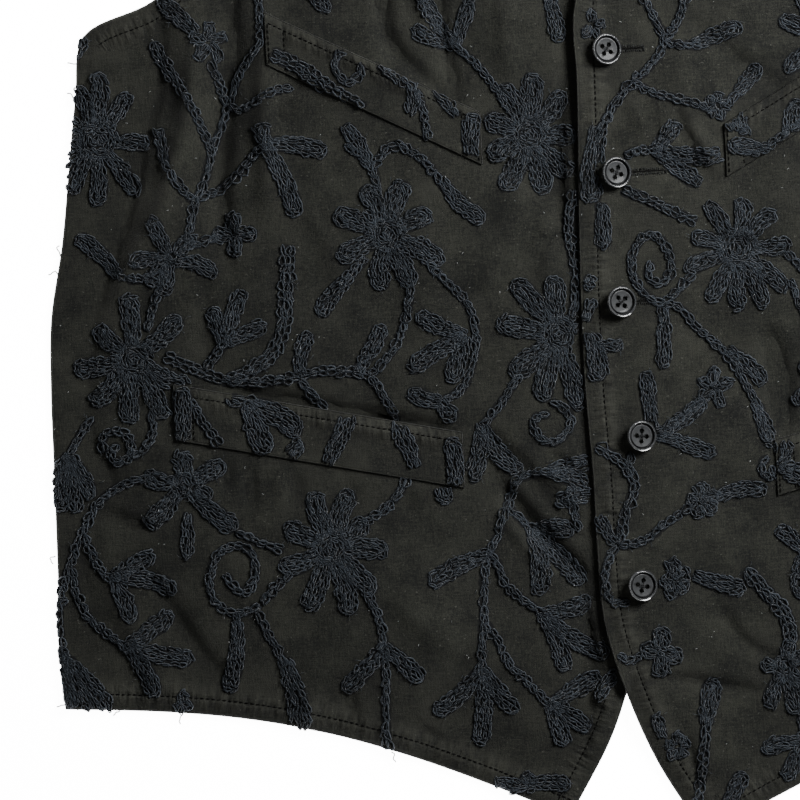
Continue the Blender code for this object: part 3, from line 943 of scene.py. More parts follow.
def seamRelief(edges, x, y):
    # turned edges stand up, sink along their stitches and pucker across them; the rim rounds off
    relief, wear = np.zeros_like(x), np.zeros_like(x)
    place = np.zeros((*x.shape, 3))
    nearest = np.full(x.shape, 1.0)
    for layer, (name, (width, rise, sink, pucker, spacing)) in enumerate(seams.items()):
        away, along = nearestOn(edges[name], x, y)
        fromStitches = np.abs(away - width)
        band = rise * eased((width - away) / (1.2 * mm))
        groove = sink * bell(fromStitches, grooveReach)
        coarse = softNoise(along, away * 0.35, spacing, 20 + layer)
        ripple = coarse + 0.5 * softNoise(along, away, spacing / 2, 30)
        puckers = pucker * ripple * bell(fromStitches, seamReach) * eased(away / (1.5 * mm))
        relief = relief + band - groove + puckers
        wear = np.maximum(wear, bell(fromStitches, wearReach))
        here = away < nearest
        place[here] = seamCoordinates(along, away)[here]
        nearest = np.minimum(nearest, away)
    for name in ("sideSeam", "shoulder"):
        nearest = np.minimum(nearest, nearestOn(edges[name], x, y)[0])
    relief = relief - edgeRound[0] * nearness(nearest, edgeRound[1])
    return relief, wear, place


def denser(count, density):
    # shares from 0 to 1 that crowd together at both ends
    even = np.linspace(0, 1, count)
    return even - density * np.sin(tau * even) / tau


def curlShare(y):
    # how far the closing stands open, along the garment
    drops, shares = np.array(curlAlong).T
    return np.interp(topY - y, drops * mm, shares)


def makeFront(name, side, edges, otherEdges, finish):
    # the CAD panel's upper face, creased and puckered, with a wall below it
    across, down = np.meshgrid(denser(panel["columns"], panel["edgeDensity"]), denser(panel["rows"], 0.25))
    x, y = frontPlan(side, across, down)
    heights = heightMap(name)
    base = readMap(heights, x, y)
    free = clothRelief(x, y)
    if side == underSide:  # flat where the other front covers it
        covered = insideOf(otherEdges["outline"], x + lap["coverFrom"], y)
        free = np.where(covered, np.minimum(free, 0) * lap["coveredShare"], free)
        fromLap = nearestOn(otherEdges["front"], x, y)[0]
        depth, distance, reach = lap["dip"]
        free = free - depth * curlShare(y) * bell(fromLap - distance, reach)
    else:
        overlap = nearestOn(otherEdges["front"], x, y)[0]
        onOther = insideOf(otherEdges["outline"], x, y)
        least = lap["overShare"]
        free = free * np.where(onOther, least, least + (1 - least) * eased(overlap / lap["overReach"]))
    free = free * eased((panel["widest"] - np.abs(x)) / sideFade)
    sag, reach = panel["sideSag"]
    free = free - sag * nearness(nearestOn(edges["sideSeam"], x, y)[0], reach)
    relief, wear, place = seamRelief(edges, x, y)
    if side == underSide:
        relief = np.where(covered, np.minimum(relief, 0), relief)
    else:
        away, along = nearestOn(edges["front"], x, y)
        rise, reach = lap["curl"]
        uneven = curlShare(y) * (0.85 + 0.4 * softNoise(along, 0 * along, 35 * mm, 12))
        free = free + rise * uneven * nearness(away, reach) * onOther
    free = np.maximum(free, panel["wall"] + panel["clearance"] - base)
    top = np.stack([x, y, base + free + relief], -1)
    bottom = np.stack([x, y, base + free - panel["wall"]], -1)
    attributes = {"seamWear": wear, "seamPlace": place}
    mesh = wallMesh(name + "_cloth", top, bottom, panel["rimBulge"], panel["inner"], attributes)
    piece = addPiece(name + "_cloth", mesh, finish)
    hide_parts(name)
    return piece, heights


def makeBack(finish):
    # level rows between the sides, with a hollowed neck and hem; its underside lies flat on the floor
    table = np.array(backRows) * mm
    columns, rows, step = panel["backGrid"]
    across, down = np.meshgrid(2 * denser(columns, 0.3) - 1, denser(rows, 0.2))
    neckShare = panel["backNeckOut"] / table[0, 0]
    half, drop = through(table[:, 0], down), through(table[:, 1], down)
    out = np.abs(across)
    neckCurve = panel["backNeckDrop"] * (1 - np.minimum(out / neckShare, 1) ** 2)
    shoulderLine = table[0, 1] * np.maximum(out - neckShare, 0) / (1 - neckShare)
    drop = drop + (neckCurve + shoulderLine - table[0, 1]) * (1 - eased(down * 2.2))
    drop = drop - panel["backHemHollow"] * (1 - out**2) * eased(down * 2 - 1)
    x, y = half * across, topY - drop
    outline = np.concatenate([np.stack([x[0], y[0]], 1), np.stack([x[1:, -1], y[1:, -1]], 1)])
    outline = np.concatenate([outline, np.stack([x[-1, -2::-1], y[-1, -2::-1]], 1)])
    away, along = nearestOn(outline[: x.shape[1]], x, y)
    width, _, sink, pucker, spacing = seams["armhole"]
    ripple = softNoise(along, away * 0.35, spacing, 40) * bell(away - width, seamReach)
    groove = sink * bell(away - width, grooveReach)
    relief = 0.5 * pucker * (ripple - 1) - 0.5 * groove + 0.08 * mm * softNoise(x, y, 14 * mm, 9)
    top = np.stack([x, y, panel["wall"] + np.minimum(relief, 0)], -1)
    bottom = np.stack([x, y, 0 * x], -1)
    attributes = {"seamWear": bell(away - width, wearReach), "seamPlace": seamCoordinates(along, away)}
    mesh = wallMesh("back_cloth", top, bottom, panel["rimBulge"], step, attributes)
    piece = addPiece("back_cloth", mesh, finish)
    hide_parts("back")
    return piece, outline


# Pocket welts

weltCut = {  # outer out, inner out, outer drop, inner drop, height, in millimetres
    "chest_welt": (159, 58.5, 259, 312, 25),
    "hip_welt": (212, 75, 435, 465, 26.5),
}
welt = {
    "gap": 0.45 * mm,  # over the front's highest threads
    "wall": 1.5 * mm,
    "columns": 121,
    "rows": 29,
    "inner": 4,  # the inner face has a point at every fourth of those
    "stitchIn": 4.5 * mm,
    "endIn": 8.6 * mm,
    "rimIn": 1.2 * mm,  # the outer of the two rows at each end
    "groove": (0.40 * mm, 0.35 * mm, 0.8 * mm),  # depth along the fold and at the ends, half width
    "pucker": (0.26 * mm, 5.2 * mm, 5 * mm),  # height, spacing and reach
    "gape": {"hip_welt": 2.4 * mm, "chest_welt": 1.32 * mm},  # how far a used pocket's mouth stands up
    "mouth": (0.62, 0.24),  # where it gapes most and over what width, as shares of its length
    "rimBulge": 0.3 * mm,
}


def weltPlan(name, side, toInner, down):
    # upright ends between two sloping edges, settled with the front that it lies on
    outerOut, innerOut, outerDrop, innerDrop, height = (value * mm for value in weltCut[name])
    out = outerOut + (innerOut - outerOut) * toInner
    drop = outerDrop + (innerDrop - outerDrop) * toInner + height * down
    if side == overSide:
        drop = settled(out, drop)
    return side * out, topY - drop


def weltSize(name):
    # its length across the garment, and the height of its ends
    outerOut, innerOut, _, _, height = weltCut[name]
    return (outerOut - innerOut) * mm, height * mm


def weltOutline(name, side):
    # a welt's four edges in order, as places on the plane
    steps = np.linspace(0, 1, 24)
    ones = np.ones_like(steps)
    edges = [(steps, 0 * ones), (ones, steps), (1 - steps, ones), (0 * ones, 1 - steps)]
    return np.concatenate([np.stack(weltPlan(name, side, *edge), 1)[:-1] for edge in edges])


def makeWelt(name, side, sideName, front, finish):
    # a folded strip laid on the front's points: thick at its fold, sunk along its stitches, puckered below
    toInner, down = np.meshgrid(denser(welt["columns"], 0.3), denser(welt["rows"], 0.3))
    x, y = weltPlan(name, side, toInner, down)
    ground = softened(spread(heightOn(front, x, y)), 3) + welt["gap"]
    length, height = weltSize(name)
    fromTop, fromEnd = down * height, np.minimum(toInner, 1 - toInner) * length
    fromFoot = (1 - down) * height
    alongDepth, endDepth, reach = welt["groove"]
    fromStitches = fromTop - welt["stitchIn"]
    groove = alongDepth * bell(fromStitches, reach) + endDepth * bell(fromEnd - welt["endIn"], reach)
    rise, spacing, reach = welt["pucker"]
    ripple = softNoise(toInner * length, down * height * 0.4, spacing, 50)
    puckers = rise * ripple * bell(fromStitches, reach)
    widest, reach = welt["mouth"]
    lift = welt["gape"][name] * bell(toInner - widest, reach) * eased(1 - down * 2.2)
    edge = np.minimum(np.minimum(fromTop, fromFoot), fromEnd)
    relief = puckers - groove + 0.2 * mm * softNoise(x, y, 17 * mm, 51)
    relief = relief - 0.5 * mm * nearness(edge, edgeRound[1])
    top = np.stack([x, y, ground + welt["wall"] + lift + relief], -1)
    bottom = np.stack([x, y, ground + lift], -1)
    pieceName = f"{name}_{sideName}_cloth"
    place = seamCoordinates(toInner * length, fromTop)
    attributes = {"seamWear": bell(fromStitches, 4 * mm), "seamPlace": place}
    mesh = wallMesh(pieceName, top, bottom, welt["rimBulge"], welt["inner"], attributes)
    piece = addPiece(pieceName, mesh, finish)
    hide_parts(f"{name}_{sideName}")
    return piece


# Embroidery: chain stitch in soft yarn, as stems, curls, petals and leaves

stitch = {
    "pitch": 4.3 * mm,
    "fillPitch": 3.8 * mm,
    "rowGap": 2.15 * mm,
    "halfWidth": 1.3 * mm,
    "fillHalfWidth": 0.76 * mm,
    "strand": 0.47 * mm,
    "fillStrand": 0.44 * mm,
    "twinGap": 1.1 * mm,  # a single stem is two chains that overlap
    "sides": 3,
    "perPiece": 3500,
    # painted shade: a flat dark patch under each link, reaching past its legs by the patch rim, stands for
    # the shadow between and round the loops
    "patch": [(-0.15, 0.3), (0.3, 1.0), (0.95, 1.0), (1.3, 0.3)],  # share of the pitch and of the half width
    "patchRim": 0.6 * mm,
    "patchRise": 0.12 * mm,
    "shift": 0.27 * mm,  # how unevenly the loops lie: moved, widened, skewed, stretched and turned
    "widen": (0.65, 1.35),
    "skew": 0.35,
    "stretch": (0.9, 1.2),
    "turn": 0.17,
    "wander": 0.17 * mm,
    "thicken": (0.6, 1.3),
    "edgeDrop": 0.7 * mm,  # loops past an edge hang this much below it
    "weltClear": [(-0.7 * mm, -0.7 * mm), (0.7 * mm, 0.7 * mm)],  # moves that a link bears clear of a welt
    "lapClear": [(0.9 * mm, 0)],  # and of the left front's edge
    "buttonClear": 9.3 * mm,  # from a button's middle
}
loopShape = [  # one side of a loop: share of the pitch, share of the half width, lift in strand radii
    (0.00, 0.00, 0.8),
    (0.20, 0.62, 1.6),
    (0.62, 1.00, 0.9),
    (1.00, 0.72, 0.7),
    (1.15, 0.00, 0.7),
]


def sideRow(line, offset):
    # the line again, moved square to itself
    run = np.gradient(line, axis=0)
    square = np.stack([-run[:, 1], run[:, 0]], 1) / np.linalg.norm(run, axis=1, keepdims=True)
    return line + offset * square


def stemRows(points, count):
    # rows side by side along one smooth line
    line = np.stack(placed(*curved(points).T), 1)
    offsets = (np.arange(count) - (count - 1) / 2) * stitch["rowGap"]
    if count == 1:
        offsets = [-stitch["twinGap"] / 2, stitch["twinGap"] / 2]
    return [sideRow(line, offset) for offset in offsets]


def petalRows(base, tip, width):
    # rows that fan out from the base; each pair meets in a round end, the inner ones sooner
    axis = tip - base
    length = np.hypot(*axis)
    axis = axis / length
    square = np.array([-axis[1], axis[0]])
    at = 1 - np.linspace(1, 0, 30) ** 1.5
    roundFrom = max(1 - width / 2 / length, 0.3)
    end = np.clip(1 - np.clip((at - roundFrom) / (1 - roundFrom), 0, 1) ** 3, 0, 1) ** 0.5
    half = width / 2 * (0.64 + 0.36 * eased(at / 0.6)) * end
    bend = chance.uniform(-0.07, 0.07) * length * np.sin(math.pi * at)
    count = max(round(width / stitch["rowGap"]), 2)
    rows = []
    for number in range((count + 1) // 2):
        share = (count - 1 - 2 * number) / count
        reach = length - (1 - share) * width * 0.42
        spine = base + np.outer(at * reach, axis) + np.outer(bend, square)
        if share == 0:
            rows.append(spine)
        else:
            aside = np.outer(share * half, square)
            rows.append(np.concatenate([spine + aside, (spine - aside)[-2::-1]]))
    return rows


def coreRows(centre, radius):
    # a spiral from the rim of a flower's middle to its centre
    turns = max(radius / stitch["rowGap"], 1)
    angle = np.linspace(0, tau * turns, round(turns * 16))
    reach = radius * (1 - angle / angle[-1] * 0.9)
    return [centre + np.stack([reach * np.cos(angle), reach * np.sin(angle)], 1)]


def sprayRows(x, y, width, core, tips):
    # petals or leaves from one place, and a filled middle where it has one
    centre = np.array(placed(x, y))
    rows = []
    for tipX, tipY in tips:
        tip = np.array(placed(tipX, tipY))
        start = centre + (tip - centre) / np.hypot(*(tip - centre)) * core * mm * 0.75
        rows += petalRows(start, tip, width * mm)
    if core > 2:
        rows += coreRows(centre, core * mm)
    return rows


def ringTips(x, y, reach, count, turn):
    # tips round a flower, evenly turned and of slightly uneven reach
    angle = np.radians(turn) + tau * np.arange(count) / count
    uneven = reach * (1 + 0.10 * np.sin(3 * angle + x))
    return list(zip(x + uneven * np.cos(angle), y + uneven * np.sin(angle)))


def fanTips(x, y, reach, turn):
    # three leaf tips, the middle one furthest
    angle = np.radians(turn) + np.array([-0.75, 0.05, 0.8])
    length = reach * np.array([0.9, 1.1, 0.85])
    return list(zip(x + length * np.cos(angle), y + length * np.sin(angle)))


def curlPoints(x, y, radius, turn, way):
    # a curl that winds in by 1.3 turns
    angle = np.radians(turn) + way * np.linspace(0, 1.3 * tau, 14)
    reach = radius * np.linspace(1.05, 0.25, 14)
    return list(zip(x + reach * np.cos(angle), y + 1.15 * reach * np.sin(angle)))


# Each design lists stems as a number of chains side by side and places along them, curls as a place,
# radius, turn and way round, and sprays as a place, the petals' width and the middle's radius in
# millimetres, and their tips. Places and the curls' radii are in the frame's pixels.

rightDesign = {
    "stems": [
        (1, [(179, 86), (196, 115), (210, 148)]),
        (1, [(210, 60), (218, 82), (226, 103)]),
        (1, [(256, -60), (258, 0), (260, 41), (241, 69), (229, 103), (222, 124), (212, 151), (203, 186),
             (195, 203), (188, 241)]),
        (1, [(229, 103), (241, 110), (270, 93), (290, 88)]),
        (1, [(165, 162), (178, 185), (193, 200)]),
        (1, [(198, 198), (222, 188), (246, 165), (262, 146)]),
        (1, [(183, 248), (200, 243), (216, 238)]),
        (1, [(118, 276), (140, 280), (165, 268)]),
        (1, [(146, 331), (157, 295), (167, 270)]),
        (2, [(205, 369), (215, 356), (224, 343)]),
        (3, [(288, 246), (286, 290), (283, 330), (265, 362), (229, 381)]),
        (2, [(165, 355), (203, 374), (229, 381), (260, 382), (290, 378), (330, 370), (370, 376)]),
        (1, [(300, 380), (312, 395), (325, 407)]),
        (1, [(370, 376), (385, 398), (397, 420)]),
        (1, [(370, 376), (393, 350), (405, 320), (410, 290), (402, 262)]),
        (1, [(378, 196), (372, 168), (347, 146)]),
        (1, [(372, 168), (393, 145), (420, 158), (440, 180)]),
        (1, [(427, 262), (440, 276), (456, 290), (470, 310), (476, 340), (471, 368), (463, 388), (444, 400)]),
        (2, [(366, 258), (356, 268), (350, 276)]),
        (1, [(498, 92), (478, 66), (455, 45)]),
        (1, [(520, 374), (506, 396), (494, 412), (484, 424)]),
        (2, [(573, 190), (568, 228), (573, 256), (577, 284), (574, 310)]),
        (1, [(550, 402), (567, 410), (570, 428), (553, 443), (536, 434), (534, 418), (548, 414)]),
        (1, [(100, 452), (104, 435), (119, 431), (131, 442), (129, 458), (116, 463), (109, 452), (117, 446)]),
        (1, [(131, 458), (146, 448), (153, 430), (150, 415)]),
        (1, [(92, 418), (80, 434), (70, 452)]),
        (1, [(150, 477), (120, 486), (96, 505), (83, 531), (73, 553), (68, 569), (60, 593), (58, 622),
             (61, 651), (66, 664)]),
        (1, [(83, 536), (101, 573), (112, 578)]),
        (1, [(71, 569), (78, 601), (93, 624), (123, 647)]),
        (1, [(66, 600), (54, 612), (52, 640), (58, 680)]),
        (1, [(236, 531), (255, 541), (282, 549)]),
        (1, [(260, 606), (236, 614), (214, 601), (210, 576), (219, 553), (239, 545), (254, 558), (254, 583),
             (241, 593), (231, 584), (227, 576)]),
        (1, [(262, 603), (275, 588), (290, 574)]),
        (1, [(236, 612), (237, 622)]),
        (1, [(257, 612), (272, 641), (284, 662)]),
        (1, [(362, 522), (386, 508), (401, 490), (406, 480)]),
        (1, [(366, 592), (379, 619), (384, 643), (386, 676), (386, 720), (388, 757)]),
        (1, [(516, 482), (506, 510), (498, 535), (490, 553), (484, 576), (484, 609), (482, 642), (482, 668)]),
        (1, [(489, 553), (497, 562), (505, 584), (525, 601), (543, 614)]),
        (1, [(485, 622), (497, 640), (508, 662), (530, 685), (549, 704)]),
        (1, [(507, 508), (518, 516), (532, 531)]),
        (1, [(512, 484), (525, 476), (549, 471)]),
        (1, [(570, 486), (573, 505), (578, 528)]),
        (1, [(256, -60), (262, -120), (270, -180), (262, -240), (284, -310), (305, -380), (312, -450)]),
        (1, [(268, -170), (300, -190), (330, -215)]),
        (1, [(262, -110), (230, -130), (205, -120)]),
        (1, [(262, -55), (300, -40), (322, -60)]),
        (1, [(360, -60), (400, -40), (440, -50)]),
        (1, [(400, -40), (420, 0), (455, 45)]),
        (1, [(280, -300), (330, -320), (366, -310)]),
    ],
    "curls": [(300, -130, 22, 180, 1), (250, -420, 20, 0, -1), (398, -190, 20, 90, 1), (216, -70, 17, 20, 1)],
    "sprays": [
        (96, 140, 8.8, 10.5, [(97, 70), (130, 92), (150, 143), (138, 194), (96, 207), (70, 194), (52, 168),
                              (50, 138), (56, 108), (74, 84)]),
        (179, 86, 7.0, 0, [(151, 40)]),
        (208, 42, 6.2, 2, [(208, 20), (228, 35), (221, 62), (196, 62), (188, 36)]),
        (196, 32, 9.2, 0, [(158, -4)]),
        (165, 162, 6.2, 0, [(157, 126)]),
        (264, 144, 9.0, 0, [(328, 152), (297, 218), (262, 122)]),
        (234, 234, 7.9, 2, [(234, 210), (258, 233), (235, 258), (211, 235)]),
        (170, 258, 8.1, 4, [(150, 217), (218, 274), (128, 264), (164, 296), (196, 236), (146, 286)]),
        (118, 276, 8.4, 0, [(75, 235)]),
        (133, 360, 9.8, 9, [(127, 293), (95, 326), (72, 369), (92, 405), (129, 424), (164, 420), (190, 386),
                            (181, 316)]),
        (224, 343, 8.1, 0, [(211, 306), (243, 289), (267, 324)]),
        (300, 374, 7.7, 0, [(309, 331)]),
        (357, 372, 8.1, 0, [(384, 324)]),
        (386, 234, 10.6, 9, [(333, 214), (364, 185), (404, 180), (432, 213), (443, 263), (411, 286),
                             (380, 291), (337, 260)]),
        (350, 276, 8.8, 0, [(318, 317)]),
        (370, 168, 7.7, 0, [(344, 124)]),
        (442, 181, 8.4, 0, [(485, 222)]),
        (465, 336, 9.0, 0, [(415, 314), (408, 371), (450, 384)]),
        (440, 402, 9.2, 0, [(407, 391), (456, 421)]),
        (529, 134, 10.6, 9, [(500, 84), (532, 72), (564, 91), (577, 135), (571, 176), (545, 194), (502, 191),
                             (487, 156), (484, 118)]),
        (455, 45, 7.7, 0, [(411, 28), (424, -2), (471, -2)]),
        (546, -12, 7.9, 0, [(560, 43)]),
        (558, 335, 10.6, 9, [(513, 280), (553, 275), (496, 323), (510, 376), (541, 402), (581, 410),
                             (592, 300)]),
        (68, 456, 7.9, 0, [(60, 512), (76, 514), (92, 500), (46, 498)]),
        (184, 486, 9.8, 7, [(144, 475), (181, 450), (226, 463), (237, 530), (146, 527), (212, 500)]),
        (188, 514, 6.8, 0, [(187, 560)]),
        (113, 577, 9.0, 0, [(155, 553), (177, 591), (133, 624)]),
        (127, 646, 9.0, 0, [(173, 613), (194, 660), (156, 698)]),
        (60, 655, 8.4, 0, [(110, 712), (90, 716), (72, 716), (60, 712)]),
        (331, 549, 10.2, 9, [(313, 491), (351, 490), (284, 525), (389, 550), (368, 519), (279, 569),
                             (307, 611), (350, 616), (375, 594)]),
        (237, 622, 8.4, 0, [(227, 694)]),
        (285, 660, 10.6, 0, [(302, 746)]),
        (384, 646, 8.8, 0, [(343, 692), (423, 682)]),
        (438, 474, 8.8, 0, [(448, 505)]),
        (488, 554, 9.5, 0, [(428, 584)]),
        (482, 668, 9.0, 0, [(434, 715), (480, 747), (517, 713)]),
        (543, 614, 9.2, 0, [(592, 600), (566, 673), (610, 656)]),
        (551, 705, 9.0, 0, [(601, 675), (592, 732), (566, 748)]),
        (533, 531, 9.7, 0, [(540, 595), (584, 584), (575, 530)]),
        (549, 471, 9.0, 0, [(594, 487), (594, 461)]),
        (595, 497, 8.8, 0, [(555, 502)]),
        (482, 426, 9.6, 0, [(470, 484), (520, 474)]),
        (183, 704, 6.6, 0, [(182, 690), (192, 710), (174, 712)]),
        (528, 786, 8.4, 0, [(494, 784), (572, 786), (530, 772)]),
        (598, 700, 6.6, 0, [(615, 672)]),
        (70, 62, 6.8, 0, [(84, 34), (64, 40)]),
        (340, -92, 9.0, 9, ringTips(340, -92, 55, 8, 10)),
        (470, -62, 8.6, 7, ringTips(470, -62, 42, 7, 30)),
        (372, -236, 9.0, 9, ringTips(372, -236, 54, 8, 0)),
        (312, -480, 8.1, 5, ringTips(312, -480, 34, 6, 20)),
        (188, -112, 8.1, 0, fanTips(205, -120, 44, 170)),
        (390, -316, 8.4, 0, fanTips(366, -310, 44, -20)),
        (262, -240, 8.1, 0, fanTips(262, -240, 40, 200)),
        (284, -310, 7.9, 0, [(250, -340)]),
        (305, -380, 7.9, 0, [(344, -404), (272, -392)]),
        (300, -20, 8.1, 0, [(330, 12)]),
        (446, -140, 7.7, 0, fanTips(430, -140, 36, 240)),
    ],
}

leftDesign = {
    "stems": [
        (1, [(632, 82), (650, 66), (664, 42), (655, 20), (642, -4)]),
        (1, [(664, 42), (676, 24), (686, -4)]),
        (1, [(664, 42), (678, 45), (692, 45)]),
        (1, [(632, 82), (655, 94), (682, 100), (706, 108)]),
        (1, [(718, 105), (728, 101), (737, 94)]),
        (1, [(632, 82), (612, 108), (600, 130)]),
        (1, [(624, 156), (640, 150), (655, 150)]),
        (2, [(622, 190), (650, 201), (671, 211), (694, 222)]),
        (1, [(664, 304), (648, 298), (634, 279), (631, 259), (639, 241), (651, 234), (665, 245), (671, 263),
             (667, 280), (655, 284), (647, 274), (651, 264)]),
        (1, [(664, 304), (678, 290), (692, 275)]),
        (1, [(664, 304), (680, 308), (699, 330), (720, 347), (735, 366), (748, 388), (760, 410), (768, 440)]),
        (1, [(706, 400), (692, 410), (678, 420), (666, 434)]),
        (1, [(640, 436), (629, 456), (631, 472)]),
        (2, [(596, 446), (618, 460), (631, 474), (634, 490), (626, 512), (619, 542)]),
        (1, [(616, 546), (607, 563), (605, 588), (612, 601), (627, 602)]),
        (1, [(619, 546), (644, 541), (666, 523), (688, 509)]),
        (3, [(745, 569), (768, 594), (784, 612), (792, 640)]),
        (1, [(642, 655), (629, 661), (620, 656)]),
        (2, [(707, 716), (704, 759), (700, 790), (694, 818)]),
        (1, [(786, 252), (800, 266), (822, 280), (846, 274)]),
        (1, [(790, 280), (806, 318), (822, 346)]),
        (1, [(806, 318), (850, 330), (886, 318)]),
        (1, [(822, 40), (850, 80), (880, 110)]),
        (1, [(930, 120), (975, 100), (1010, 90)]),
        (1, [(900, 200), (896, 250), (880, 290), (850, 330)]),
        (1, [(896, 250), (940, 262), (984, 250)]),
        (1, [(1060, 118), (1066, 170), (1058, 214)]),
        (1, [(984, 250), (1010, 262), (1034, 262)]),
        (1, [(886, 318), (920, 360), (960, 372), (1010, 364)]),
        (1, [(1090, 270), (1110, 320), (1096, 360)]),
        (1, [(1010, 364), (1046, 380), (1066, 400)]),
        (1, [(822, 420), (850, 470), (880, 500), (914, 512)]),
        (1, [(980, 520), (1020, 500), (1050, 460)]),
        (1, [(850, 470), (830, 520), (826, 560)]),
        (1, [(940, 560), (930, 610), (900, 650), (886, 700)]),
        (1, [(930, 610), (970, 630), (1004, 622)]),
        (1, [(1094, 450), (1110, 500), (1100, 560)]),
        (1, [(820, 700), (840, 740), (836, 780)]),
        (1, [(1060, 640), (1030, 670), (1000, 690)]),
        (1, [(822, -10), (840, -60), (880, -90)]),
        (1, [(900, -140), (890, -190), (868, -230)]),
        (1, [(940, -90), (980, -70), (1002, -40)]),
        (1, [(868, -280), (890, -330), (920, -360)]),
        (1, [(780, -60), (760, -110), (730, -130)]),
        (1, [(930, -410), (940, -450), (930, -490)]),
    ],
    "curls": [
        (960, 180, 22, 0, 1), (1100, 180, 18, 200, -1), (930, 440, 23, 90, 1), (1040, 560, 21, 180, -1),
        (860, 590, 20, 0, 1), (960, -170, 20, 180, 1), (830, -340, 18, 30, -1), (770, 470, 16, 90, -1),
    ],
    "sprays": [
        (592, 25, 5.5, 2, [(592, 8), (606, 24), (598, 42), (582, 38)]),
        (692, 45, 7.7, 0, [(742, 25)]),
        (718, 106, 5.9, 2, [(718, 90), (733, 104), (722, 122), (706, 116), (704, 98)]),
        (737, 93, 7.7, 0, [(761, 64)]),
        (598, 128, 11.5, 0, [(590, 204)]),
        (601, 204, 8.1, 0, [(603, 250)]),
        (655, 150, 8.4, 0, [(678, 121), (727, 155), (701, 185)]),
        (738, 249, 8.6, 10, [(706, 202), (741, 197), (776, 210), (792, 243), (787, 291), (764, 308),
                             (738, 312), (709, 303), (684, 269), (690, 237)]),
        (663, 308, 7.5, 0, [(663, 370)]),
        (727, 349, 8.1, 0, [(767, 384)]),
        (757, 404, 7.7, 0, [(774, 448)]),
        (715, 386, 6.6, 3, [(713, 365), (735, 381), (723, 409), (700, 402), (696, 380)]),
        (652, 428, 7.9, 0, [(646, 370)]),
        (586, 283, 5.7, 0, [(592, 275), (592, 290)]),
        (588, 312, 6.6, 0, [(594, 298), (584, 322)]),
        (591, 334, 10.1, 0, [(598, 382)]),
        (599, 345, 6.8, 0, [(624, 344)]),
        (658, 435, 7.9, 0, [(706, 399), (717, 455)]),
        (616, 544, 6.2, 0, [(597, 515)]),
        (702, 500, 9.0, 4, [(702, 481), (720, 494), (714, 515), (694, 518), (685, 500)]),
        (716, 496, 8.1, 0, [(767, 489)]),
        (673, 578, 9.2, 4, [(672, 557), (690, 571), (688, 592), (670, 600), (660, 585)]),
        (694, 575, 9.0, 0, [(746, 590)]),
        (784, 667, 8.4, 6, [(760, 665), (769, 709), (818, 694), (816, 650), (792, 640), (796, 716)]),
        (806, 740, 8.4, 5, [(762, 752), (806, 700), (842, 742), (826, 782), (786, 782)]),
        (806, 550, 8.8, 0, [(777, 527), (800, 600)]),
        (661, 652, 9.8, 3, [(660, 626), (683, 658), (661, 678), (639, 648)]),
        (706, 724, 9.7, 0, [(715, 678)]),
        (678, 747, 6.4, 2, [(678, 730), (692, 742), (686, 760), (670, 762), (664, 746)]),
        (663, 738, 6.2, 0, [(654, 713)]),
        (728, 804, 8.8, 0, [(745, 772)]),
        (824, 36, 8.8, 7, [(778, 18), (784, 72), (800, -14), (846, -6), (868, 34), (848, 76)]),
        (905, 150, 9.0, 9, ringTips(905, 150, 54, 8, 15)),
        (1044, 76, 8.6, 8, ringTips(1044, 76, 45, 8, 0)),
        (1064, 250, 9.0, 9, ringTips(1064, 250, 50, 8, 22)),
        (846, 274, 8.1, 0, fanTips(846, 274, 42, -60)),
        (984, 250, 8.1, 0, [(1004, 214), (1000, 292)]),
        (830, 382, 8.4, 6, ringTips(830, 382, 40, 6, 30)),
        (1010, 364, 8.1, 0, fanTips(1010, 364, 42, -40)),
        (1096, 408, 8.8, 8, ringTips(1096, 408, 46, 8, 10)),
        (946, 524, 9.0, 9, ringTips(946, 524, 52, 8, 0)),
        (826, 560, 8.1, 0, fanTips(826, 560, 40, 100)),
        (1100, 560, 8.1, 0, fanTips(1100, 560, 42, 60)),
        (1004, 622, 8.1, 0, fanTips(1004, 622, 44, 10)),
        (884, 706, 8.6, 7, ringTips(884, 706, 44, 7, 0)),
        (996, 700, 8.4, 6, ringTips(996, 700, 38, 6, 10)),
        (1120, 660, 8.1, 0, fanTips(1120, 660, 40, 200)),
        (836, 780, 7.9, 0, [(820, 800), (852, 790)]),
        (900, -100, 9.0, 9, ringTips(900, -100, 52, 8, 12)),
        (862, -256, 8.8, 8, ringTips(862, -256, 46, 7, 0)),
        (1008, -30, 8.1, 0, fanTips(1008, -30, 40, -30)),
        (926, -386, 8.8, 7, ringTips(926, -386, 42, 7, 20)),
        (728, -130, 8.1, 0, fanTips(728, -130, 38, 190)),
        (780, -60, 7.9, 0, [(812, -96), (752, -36)]),
        (712, -52, 7.9, 0, fanTips(712, -52, 36, 120)),
        (790, -190, 8.1, 0, fanTips(800, -190, 38, 180)),
        (930, -490, 7.9, 0, fanTips(930, -490, 36, -90)),
        (1010, 450, 7.9, 0, fanTips(1010, 450, 38, 180)),
    ],
}

